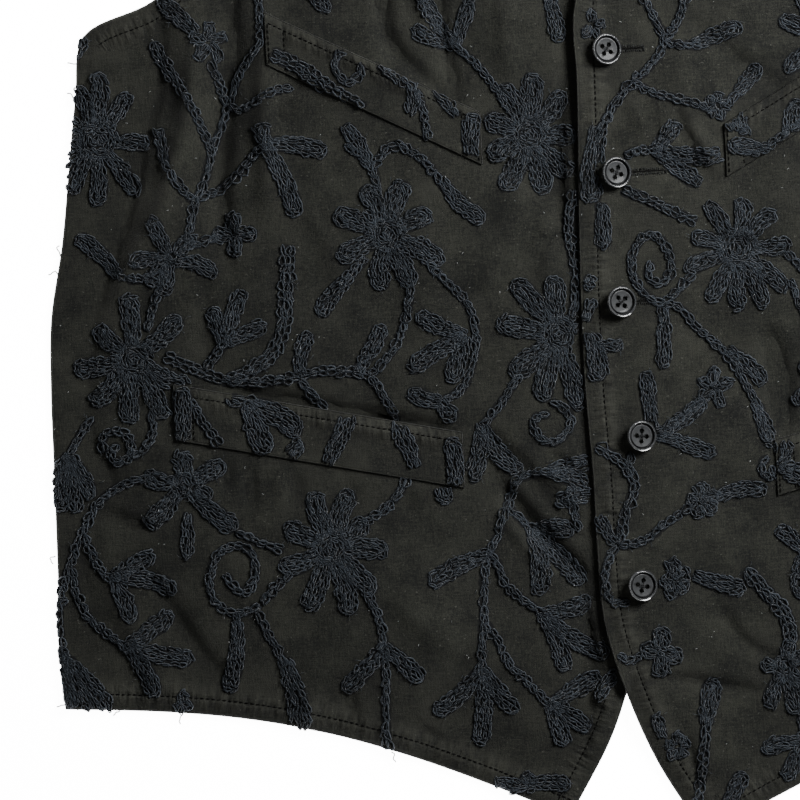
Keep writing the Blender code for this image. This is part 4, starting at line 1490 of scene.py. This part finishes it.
weltDesigns = {
    ("hip_welt", underSide): {
        "stems": [(2, [(190, 400), (204, 424), (226, 450)]), (1, [(230, 392), (246, 400), (270, 404)])],
        "curls": [],
        "sprays": [
            (182, 440, 9.6, 0, [(181, 386)]),
            (246, 402, 11.4, 2, [(226, 390), (302, 434), (268, 454)]),
            (284, 460, 8.1, 0, [(302, 440)]),
            (325, 470, 8.8, 0, [(351, 412)]),
            (416, 466, 8.8, 0, [(394, 420)]),
            (454, 484, 9.5, 0, [(452, 436)]),
        ],
    },
    ("chest_welt", underSide): {
        "stems": [
            (3, [(264, 50), (300, 68), (324, 86), (362, 110)]),
            (1, [(346, 84), (334, 66), (344, 50), (360, 56), (360, 76), (346, 84)]),
            (1, [(400, 78), (420, 100), (427, 138)]),
        ],
        "curls": [],
        "sprays": [
            (301, 104, 7.0, 0, [(282, 79)]),
            (400, 82, 7.5, 0, [(378, 64)]),
            (410, 114, 7.5, 0, [(416, 78)]),
            (456, 116, 7.5, 0, [(433, 84)]),
            (471, 154, 9.2, 0, [(473, 112)]),
        ],
    },
    ("hip_welt", overSide): {
        "stems": [(1, [(776, 462), (830, 470), (880, 452), (930, 446)]), (1, [(940, 440), (1000, 424),
                  (1050, 412)])],
        "curls": [],
        "sprays": [
            (778, 470, 9.2, 0, [(784, 436), (812, 480)]),
            (860, 462, 8.8, 0, [(840, 432), (886, 478)]),
            (930, 446, 8.8, 0, [(912, 416), (950, 462), (968, 424)]),
            (1010, 424, 8.4, 0, [(990, 448), (1030, 436), (1004, 398)]),
        ],
    },
    ("chest_welt", overSide): {
        "stems": [(1, [(724, 148), (760, 150), (800, 122), (850, 100), (900, 78)])],
        "curls": [],
        "sprays": [
            (768, 152, 8.4, 0, [(726, 146)]),
            (736, 132, 7.7, 2, [(724, 114), (742, 110), (750, 128)]),
            (786, 146, 9.0, 0, [(798, 98)]),
            (850, 104, 8.4, 0, [(836, 78), (874, 116), (858, 72)]),
            (900, 80, 8.1, 0, [(890, 52), (918, 92)]),
        ],
    },
}


def designRows(design):
    # every row of stitches of one piece's design, with whether it fills a shape
    rows = [(row, False) for count, points in design["stems"] for row in stemRows(points, count)]
    for x, y, radius, turn, way in design["curls"]:
        rows += [(row, False) for row in stemRows(curlPoints(x, y, radius, turn, way), 1)]
    for spray in design["sprays"]:
        rows += [(row, True) for row in sprayRows(*spray)]
    return rows


def linksOf(rows):
    # each link's start and end on its row, and its half width
    starts, ends, widths = [], [], []
    for row, fills in rows:
        knots = stepped(row, stitch["fillPitch" if fills else "pitch"])
        starts.append(knots[:-1])
        ends.append(knots[1:])
        widths.append(np.full(len(knots) - 1, stitch["fillHalfWidth" if fills else "halfWidth"]))
    return np.concatenate(starts), np.concatenate(ends), np.concatenate(widths)


def wholly(inside, outline, starts, ends, moves=((0, 0),)):
    # links whose start, middle and end lie inside an outline, or outside it, wherever they are moved to
    kept = np.ones(len(starts), bool)
    for move in moves:
        for share in (0, 0.5, 1):
            places = starts + (ends - starts) * share + np.array(move)
            kept &= insideOf(outline, *places.T) == inside
    return kept


def frontLinks(side, outline, weltOutlines, overOutline):
    # links on a front's cloth that clear its welts, and the upper front or the buttons
    starts, ends, widths = linksOf(designRows(rightDesign if side == underSide else leftDesign))
    middles = (starts + ends) / 2
    kept = insideOf(outline, *middles.T)
    for edge in weltOutlines:
        kept &= wholly(False, edge, starts, ends, stitch["weltClear"])
    if side == underSide:
        kept &= wholly(False, overOutline, starts, ends, stitch["lapClear"])
    else:
        for x, drop, _, _ in buttonPlaces.values():
            away = np.hypot(middles[:, 0] - x * mm, middles[:, 1] - topY + drop * mm)
            kept &= away > stitch["buttonClear"]
    return starts[kept], ends[kept], widths[kept]


def landing(flat, target, edgeHeights):
    # the height of the cloth under places, or a little below its edge where they reach past it
    ground = heightOn(target, flat[..., 0], flat[..., 1])
    beyond = readMap(edgeHeights, flat[..., 0], flat[..., 1]) - stitch["edgeDrop"]
    return np.where(np.isnan(ground), beyond, ground)


def loopLines(starts, ends, widths, target, edgeHeights):
    # a closed loop for each link: out along one leg, round the tip and back, lifted where it crosses.
    # Under each lies a flat patch of painted shade, for the shadow between its legs and round it.
    count = len(starts)
    half = np.array(loopShape)
    share = np.concatenate([half[:, 0], half[-2:0:-1, 0]])
    aside = np.concatenate([half[:, 1], -half[-2:0:-1, 1]])
    lift = np.concatenate([half[:, 2], half[-2:0:-1, 2]])
    run = ends - starts
    square = np.stack([-run[:, 1], run[:, 0]], 1) / np.linalg.norm(run, axis=1, keepdims=True)
    shift = chance.normal(0, stitch["shift"], (count, 1, 2))
    halfWidth = widths * chance.uniform(*stitch["widen"], count)
    skew = chance.normal(0, stitch["skew"], (count, 1))
    stretch = chance.uniform(*stitch["stretch"], (count, 1, 1))
    turn = chance.normal(0, stitch["turn"], (count, 1)) * np.hypot(run[:, 0], run[:, 1])[:, None]
    legs = aside + skew * np.sin(math.pi * share)
    flat = starts[:, None] + run[:, None] * share[:, None] * stretch
    flat = flat + square[:, None] * (legs * halfWidth[:, None] + turn * (share - 0.5))[..., None] + shift
    flat = flat + chance.normal(0, stitch["wander"], flat.shape)
    ground = landing(flat, target, edgeHeights)
    ground = 0.5 * ground + 0.5 * ground.mean(1, keepdims=True)
    height = ground + stitch["strand"] * (lift + chance.uniform(0, 0.8, (count, 1)))
    corners = np.array(stitch["patch"])
    share = np.concatenate([corners[:, 0], corners[::-1, 0]])
    aside = np.concatenate([-corners[:, 1], corners[::-1, 1]])
    reach = widths[:, None] + stitch["patchRim"]
    patch = starts[:, None] + run[:, None] * share[:, None] + square[:, None] * (aside * reach)[..., None]
    under = landing(patch, target, edgeHeights) + stitch["patchRise"]
    loops = np.concatenate([flat, height[..., None]], 2)
    return loops, np.concatenate([patch, under[..., None]], 2)


def makeChains(name, starts, ends, widths, target, edgeHeights, finish):
    # the links as closed strands, in as many pieces as their number needs
    lines, patches = loopLines(starts, ends, widths, target, edgeHeights)
    tones = chance.uniform(0, 1, len(lines))
    strand = np.where(widths > stitch["fillHalfWidth"], stitch["strand"], stitch["fillStrand"])
    radius = strand[:, None] * chance.uniform(*stitch["thicken"], lines.shape[:2])
    order = np.argsort(-starts[:, 1])
    count = math.ceil(len(order) / stitch["perPiece"])
    made = []
    for number, part in enumerate(np.array_split(order, count), 1):
        pieceName = f"{name}_{number}" if count > 1 else name
        loops = (lines[part], radius[part], True, stitch["sides"], tones[part], patches[part])
        mesh = strandMesh(pieceName, *loops)
        made.append(addPiece(pieceName, mesh, finish))
    print("embroidery", name, len(lines), "links")
    return made


# Sewing: topstitches, buttonholes and the threads of the buttons

sewing = {
    "pitch": 2.7 * mm,
    "length": 1.7 * mm,
    "radius": 0.39 * mm,
    "run": (-0.5, -0.25, 0.25, 0.5),  # shares of the length
    "lift": (-0.6, 0.8, 0.8, -0.6),  # shares of the radius
}


def stitchLines(line, target):
    # short strands along a line, each dipping into the cloth at both ends
    knots = stepped(line, sewing["pitch"])
    middles = (knots[:-1] + knots[1:]) / 2
    run = np.diff(knots, axis=0)
    run /= np.linalg.norm(run, axis=1, keepdims=True)
    share = np.array(sewing["run"])
    flat = middles[:, None] + run[:, None] * share[:, None] * sewing["length"]
    ground = heightOn(target, flat[..., 0], flat[..., 1])
    known = ~np.isnan(ground).any(1)
    height = ground + sewing["radius"] * np.array(sewing["lift"])
    return np.concatenate([flat, height[..., None]], 2)[known]


def makeStitches(name, lines, target, finish):
    # the stitches of several lines as one piece
    made = np.concatenate([stitchLines(line, target) for line in lines])
    tones = chance.uniform(0, 1, len(made))
    mesh = strandMesh(name, made, sewing["radius"], False, 3, tones)
    return addPiece(name, mesh, finish)


def weltStitches(name, side):
    # along the fold, and down both ends in two rows
    line = np.linspace(0, 1, 40)
    ones = np.ones_like(line)
    length, height = weltSize(name)
    top, end, rim = welt["stitchIn"] / height, welt["endIn"] / length, welt["rimIn"] / length
    runs = [(0.01 + 0.98 * line, top * ones)]
    for place in (rim, end, 1 - end, 1 - rim):
        runs.append((place * ones, top + (0.97 - top) * line))
    return [np.stack(weltPlan(name, side, *run), 1) for run in runs]


buttonPlaces = {  # x, drop, turn, and where its buttonhole ends: millimetres and degrees
    "button_1": (3.3, 285.3, 12, 18),
    "button_2": (5.0, 344.5, 22, 24),
    "button_3": (4.2, 406.5, -8, 20),
    "button_4": (10.4, 471.2, 38, 17),
    "button_5": (7.1, 542.7, 30, 16),
}
buttonhole = {
    "from": 5 * mm,  # out from the button's middle
    "pitch": 0.95 * mm,
    "gap": 0.45 * mm,
    "reach": 1.3 * mm,
    "slant": 0.25 * mm,
    "barStep": 0.6 * mm,
    "uneven": 0.1 * mm,
    "strand": 0.27 * mm,
    "lift": 0.3 * mm,
    "slit": 0.48 * mm,
}


def makeButtonholes(target, finish):
    # small strands set across both lips of a slit, and a bar at its end
    lines = []
    for x, drop, _, last in buttonPlaces.values():
        startX, startY = x * mm, topY - drop * mm
        along = np.arange(buttonhole["from"], last * mm, buttonhole["pitch"])
        for lip in (-1, 1):
            nearY = lip * buttonhole["gap"] + 0 * along
            farY = lip * (buttonhole["gap"] + buttonhole["reach"]) + 0 * along
            share = np.array([0, 0.3, 0.7, 1])
            flatX = startX + along[:, None] + buttonhole["slant"] * share
            flatY = startY + nearY[:, None] + (farY - nearY)[:, None] * share
            lines.append(np.stack([flatX, flatY], 2))
        bar = np.linspace(-1, 1, 4) * (buttonhole["gap"] + buttonhole["reach"])
        for step in (0, buttonhole["barStep"]):
            barX = startX + last * mm + step + 0 * bar
            lines.append(np.stack([barX, startY + bar], 1)[None])
    flat = np.concatenate(lines)
    flat = flat + chance.normal(0, buttonhole["uneven"], (len(flat), 1, 2))
    ground = heightOn(target, flat[..., 0], flat[..., 1])
    height = ground + buttonhole["lift"] * np.array([-0.2, 1, 1, -0.6])
    lines = np.concatenate([flat, height[..., None]], 2)
    tones = chance.uniform(0, 1, len(lines))
    mesh = strandMesh("buttonholes", lines, buttonhole["strand"], False, 3, tones)
    return addPiece("buttonholes", mesh, finish)


def makeSlits(target, finish):
    # painted shade: a dark strand sunk along the middle of each buttonhole stands for the shadow in its
    # closed slit
    lines = []
    for x, drop, _, last in buttonPlaces.values():
        flatX = x * mm + np.linspace(buttonhole["from"], last * mm, 24)
        flatY = topY - drop * mm + chance.normal(0, 0.06 * mm, 24)
        height = heightOn(target, flatX, flatY) - 0.5 * buttonhole["slit"]
        lines.append(np.stack([flatX, flatY, height], 1))
    mesh = strandMesh("buttonhole_slits", np.stack(lines), buttonhole["slit"], False, 6, np.zeros(len(lines)))
    return addPiece("buttonhole_slits", mesh, finish)


# Buttons

buttonSize = {
    "seatGap": 0.3 * mm,
    "steps": 96,
    "holeRadius": 1.1 * mm,
    "holeSpread": 2.5 * mm,
    "seatReach": 5.5 * mm,
    "threadRadius": 0.13 * mm,
    "threadApart": 0.22 * mm,
    "threadLift": 0.35 * mm,  # of the pair that crosses over the other
    "tilt": math.radians(20),  # the edge toward the right front stands up on the shank
}
buttonProfile = [  # radius and height down the outer side, in millimetres
    (1.2, 1.30), (3.5, 1.40), (4.9, 1.58), (5.32, 1.66), (5.5, 1.55), (5.6, 1.1), (5.76, 0.92), (5.98, 1.0),
    (6.1, 1.6), (6.2, 2.25), (6.3, 2.58), (6.44, 2.72), (6.58, 2.66), (6.72, 2.50), (6.86, 2.48), (7.0, 2.58),
    (7.14, 2.62), (7.28, 2.50), (7.42, 2.2), (7.5, 1.75), (7.44, 1.15), (7.05, 0.55), (6.3, 0.15), (5.2, 0.0),
]
buttonShine = [  # radius in millimetres, polish; the lowest polish, in the groove, also marks its painted shade
    (0, 0.2), (5.2, 0.2), (5.4, 0.3), (5.52, 0.02), (6.1, 0.02), (6.26, 1), (7.5, 1),
]


def turnedMesh(name, profile, steps):
    # a profile carried round the upright axis, closed by one point at each end
    profile = np.array(profile) * mm
    angle = tau * np.arange(steps) / steps
    ringX = profile[:, :1] * np.cos(angle)
    ringY = profile[:, :1] * np.sin(angle)
    ringZ = profile[:, 1:] + 0 * ringX
    points = np.stack([ringX, ringY, ringZ], 2).reshape(-1, 3)
    poles = np.array([(0, 0, profile[0, 1]), (0, 0, profile[-1, 1])])
    index = np.arange(len(profile) * steps).reshape(len(profile), steps)
    around = np.roll(index, -1, 1)
    quads = np.stack([index[:-1], index[1:], around[1:], around[:-1]], 2).reshape(-1, 4)
    topPole, footPole = len(points), len(points) + 1
    topFan = np.stack([0 * angle.astype(int) + topPole, index[0], around[0]], 1)
    footFan = np.stack([0 * angle.astype(int) + footPole, around[-1], index[-1]], 1)
    return meshFrom(name, np.concatenate([points, poles]), quads, topFan, footFan)


def drilledButton():
    # the turned button with four holes cut through it, and how glossy each place is, which also marks the
    # painted shade in its groove
    whole = turnedMesh("turned", buttonProfile, buttonSize["steps"])
    places = np.array([vertex.co for vertex in whole.vertices])
    radii, shine = np.array(buttonShine).T
    addAttribute(whole, "polishAndShade", np.interp(np.hypot(places[:, 0], places[:, 1]), radii * mm, shine))
    body = bpy.data.objects.new("turned", whole)
    pinProfile = [(buttonSize["holeRadius"] / mm, 6), (buttonSize["holeRadius"] / mm, -3)]
    pins = []
    for quarter in range(4):
        pin = bpy.data.objects.new("pin", turnedMesh("pin", pinProfile, 24))
        angle = tau * (quarter + 0.5) / 4
        reach = buttonSize["holeSpread"]
        pin.location = (reach * math.cos(angle), reach * math.sin(angle), 0)
        pins.append(pin)
    for helper in (body, *pins):
        bpy.context.scene.collection.objects.link(helper)
    for pin in pins:
        body.modifiers.new("hole", "BOOLEAN").object = pin
    bpy.context.view_layer.update()
    evaluated = body.evaluated_get(bpy.context.evaluated_depsgraph_get())
    mesh = bpy.data.meshes.new_from_object(evaluated)
    for helper in (body, *pins):
        bpy.data.objects.remove(helper)
    mesh.materials.clear()
    mesh.shade_smooth()
    mesh.set_sharp_from_angle(angle=math.radians(50))
    return mesh


def threadLines(turn):
    # two crossed pairs of threads between opposite holes, down into them at both ends
    share = np.array([-1.0, -0.92, -0.5, 0, 0.5, 0.92, 1.0])
    height = np.array([0.2, 1.5, 2.25, 2.4, 2.25, 1.5, 0.2]) * mm
    lines = []
    for diagonal, lift in ((0.5, 0.0), (1.5, buttonSize["threadLift"])):
        angle = turn + tau * diagonal / 4
        along = np.array([math.cos(angle), math.sin(angle)])
        aside = np.array([-along[1], along[0]])
        for offset in (-buttonSize["threadApart"], buttonSize["threadApart"]):
            flat = share[:, None] * buttonSize["holeSpread"] * along + offset * aside
            raised = height + lift * (np.abs(share) < 0.7)
            lines.append(np.column_stack([flat, raised]))
    return lines


def makeButtons(target, finish, threadMaterial):
    # each button leans on its left edge, which stands just above the cloth, and carries its threads
    plain = drilledButton()
    threads = []
    ring = np.linspace(0, tau, 12, endpoint=False)
    reach = buttonSize["seatReach"]
    for name, (x, drop, turn, _) in buttonPlaces.items():
        placeX, placeY = x * mm, topY - drop * mm
        around = heightOn(target, placeX + reach * np.cos(ring), placeY + reach * np.sin(ring))
        seat = np.nanmax(around) + buttonSize["seatGap"]
        seat += buttonProfile[-1][0] * mm * math.sin(buttonSize["tilt"])
        lean = Matrix.Translation((placeX, placeY, seat)) @ Matrix.Rotation(buttonSize["tilt"], 4, "Y")
        mesh = plain.copy()
        mesh.transform(lean @ Matrix.Rotation(math.radians(turn), 4, "Z"))
        button = addPiece(name + "_polished", mesh, finish)
        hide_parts(name)
        turned = np.array(lean)
        for line in threadLines(math.radians(turn)):
            threads.append(line @ turned[:3, :3].T + turned[:3, 3])
    lines = np.stack(threads)
    tones = chance.uniform(0, 1, len(lines))
    mesh = strandMesh("button_threads", lines, buttonSize["threadRadius"], False, 6, tones)
    addPiece("button_threads", mesh, threadMaterial)


# Stray fibres

fibres = {
    "perLink": 0.62,
    "radius": 0.11 * mm,
    "length": (1.2 * mm, 3.4 * mm),
    "scatter": 1.0 * mm,
    "lintCount": 150,
    "lintRadius": 0.11 * mm,
    "lintLength": (0.4 * mm, 1.2 * mm),
    "lintScatter": 30 * mm,
}
yarnEnd = {  # how a loose end of yarn wanders and sinks
    "steps": 9,
    "stride": 0.8 * mm,
    "turn": 0.55,
    "radius": 0.36 * mm,
    "below": 0.5 * mm,
    "sag": 0.12 * mm,
}
looseEnds = [  # where a yarn end hangs free, and which way it runs, in the frame's pixels and degrees
    (80, 66, 170), (76, 100, 190), (60, 246, 200), (58, 276, 185), (53, 330, 160), (56, 556, 190),
    (182, 712, 100), (292, 724, 110), (120, 706, 95), (66, 700, 120), (390, 752, 80), (228, 706, 70),
    (516, 792, 95), (503, 322, -100), (622, 540, 20),
]


def makeFuzz(name, places, target, material, count, radius, lengths):
    # bowed hairs that start at random links and end just above them
    picked = places[chance.integers(0, len(places), count)]
    picked = picked + chance.normal(0, fibres["scatter"], (count, 2))
    angle = chance.uniform(0, tau, count)
    length = chance.uniform(*lengths, count)
    share = np.array([0, 0.55, 1.0])
    bow = chance.normal(0, 0.35, count)
    turned = angle[:, None] + bow[:, None] * share
    flatX = picked[:, :1] + np.cos(turned) * length[:, None] * share
    flatY = picked[:, 1:] + np.sin(turned) * length[:, None] * share
    ground = heightOn(target, flatX, flatY)
    known = ~np.isnan(ground).any(1)
    height = ground + (0.5 + chance.uniform(0.2, 1.0, (count, 1)) * np.array([0.6, 1.3, 0.9])) * mm
    lines = np.stack([flatX, flatY, height], 2)[known]
    mesh = strandMesh(name, lines, radius, False, 3, chance.uniform(0.3, 1, len(lines)))
    return addPiece(name, mesh, material)


def makeLooseEnds(heights, material):
    # wandering ends of yarn at the edges, each a walk of small turns
    places = np.array(looseEnds, float)
    startX, startY = placed(places[:, 0], places[:, 1])
    steps, stride = yarnEnd["steps"], yarnEnd["stride"]
    turns = np.cumsum(chance.normal(0, yarnEnd["turn"], (len(places), steps)), 1)
    heading = -np.radians(places[:, 2:]) - photo["lean"] + turns
    flatX = startX[:, None] + np.cumsum(stride * np.cos(heading), 1)
    flatY = startY[:, None] + np.cumsum(stride * np.sin(heading), 1)
    level = readMap(heights, startX, startY)[:, None]
    height = np.maximum(level - yarnEnd["below"] - np.arange(steps) * yarnEnd["sag"], 0.6 * mm)
    lines = np.stack([flatX, flatY, height + 0 * flatX], 2)
    tones = chance.uniform(0.2, 0.8, len(lines))
    mesh = strandMesh("loose_ends", lines, yarnEnd["radius"], False, 3, tones)
    return addPiece("loose_ends", mesh, material)


# Making it all

makeStudio()
print("studio ready")
cloth, yarn, thread = clothFinish(), yarnFinish(), threadFinish("sewing thread", threadLook["light"])
sides = {"right": underSide, "left": overSide}
edgesOf = {sideName: frontEdges(side) for sideName, side in sides.items()}
other = {"right": "left", "left": "right"}
back, backOutline = makeBack(cloth)
fronts, edgeHeights = {}, {}
for sideName, side in sides.items():
    made = makeFront(f"front_{sideName}", side, edgesOf[sideName], edgesOf[other[sideName]], cloth)
    fronts[sideName], edgeHeights[sideName] = made
print("panels ready")

welts, weltEdges = {}, {}
for weltName in weltCut:
    for sideName, side in sides.items():
        welts[weltName, side] = makeWelt(weltName, side, sideName, fronts[sideName], cloth)
        weltEdges[weltName, side] = weltOutline(weltName, side)
print("welts ready")

linkPlaces = {}
sewn = {}  # what lies on each front and each welt
for sideName, side in sides.items():
    weltOutlines = [weltEdges[weltName, side] for weltName in weltCut]
    overOutline = edgesOf["left"]["outline"]
    starts, ends, widths = frontLinks(side, edgesOf[sideName]["outline"], weltOutlines, overOutline)
    linkPlaces[sideName] = (starts + ends) / 2
    chains = (starts, ends, widths, fronts[sideName], edgeHeights[sideName], yarn)
    sewn[sideName] = makeChains(f"embroidery_{sideName}", *chains)

for (weltName, side), design in weltDesigns.items():
    starts, ends, widths = linksOf(designRows(design))
    kept = wholly(True, weltEdges[weltName, side], starts, ends)
    sideName = "right" if side == underSide else "left"
    target = welts[weltName, side]
    chains = (starts[kept], ends[kept], widths[kept], target, edgeHeights[sideName], yarn)
    sewn[weltName, side] = makeChains(f"embroidery_{weltName}_{sideName}", *chains)

for sideName, side in sides.items():
    edges = edgesOf[sideName]
    lines = [movedInward(edges[name][2:-2], size[0], edges["outline"]) for name, size in seams.items()]
    sewn[sideName].append(makeStitches(f"topstitching_{sideName}", lines, fronts[sideName], thread))
    for weltName in weltCut:
        target = welts[weltName, side]
        pieceName = f"topstitching_{weltName}_{sideName}"
        sewn[weltName, side].append(makeStitches(pieceName, weltStitches(weltName, side), target, thread))
sewn["left"].append(makeButtonholes(fronts["left"], threadFinish("buttonhole thread", threadLook["hole"])))
sewn["left"].append(makeSlits(fronts["left"], thread))
print("sewing ready")

makeButtons(fronts["left"], buttonFinish(), threadFinish("button thread", threadLook["shank"]))
lint = lintFinish()
for sideName, places in linkPlaces.items():
    count = int(fibres["perLink"] * len(places))
    makeFuzz(f"fuzz_{sideName}", places, fronts[sideName], yarn, count, fibres["radius"], fibres["length"])
    lintPlaces = chance.normal(0, fibres["lintScatter"], places.shape) + places
    lintSizes = (fibres["lintCount"], fibres["lintRadius"], fibres["lintLength"])
    makeFuzz(f"lint_{sideName}", lintPlaces, fronts[sideName], lint, *lintSizes)
makeLooseEnds(edgeHeights["right"], yarn)
print("buttons and fibres ready")
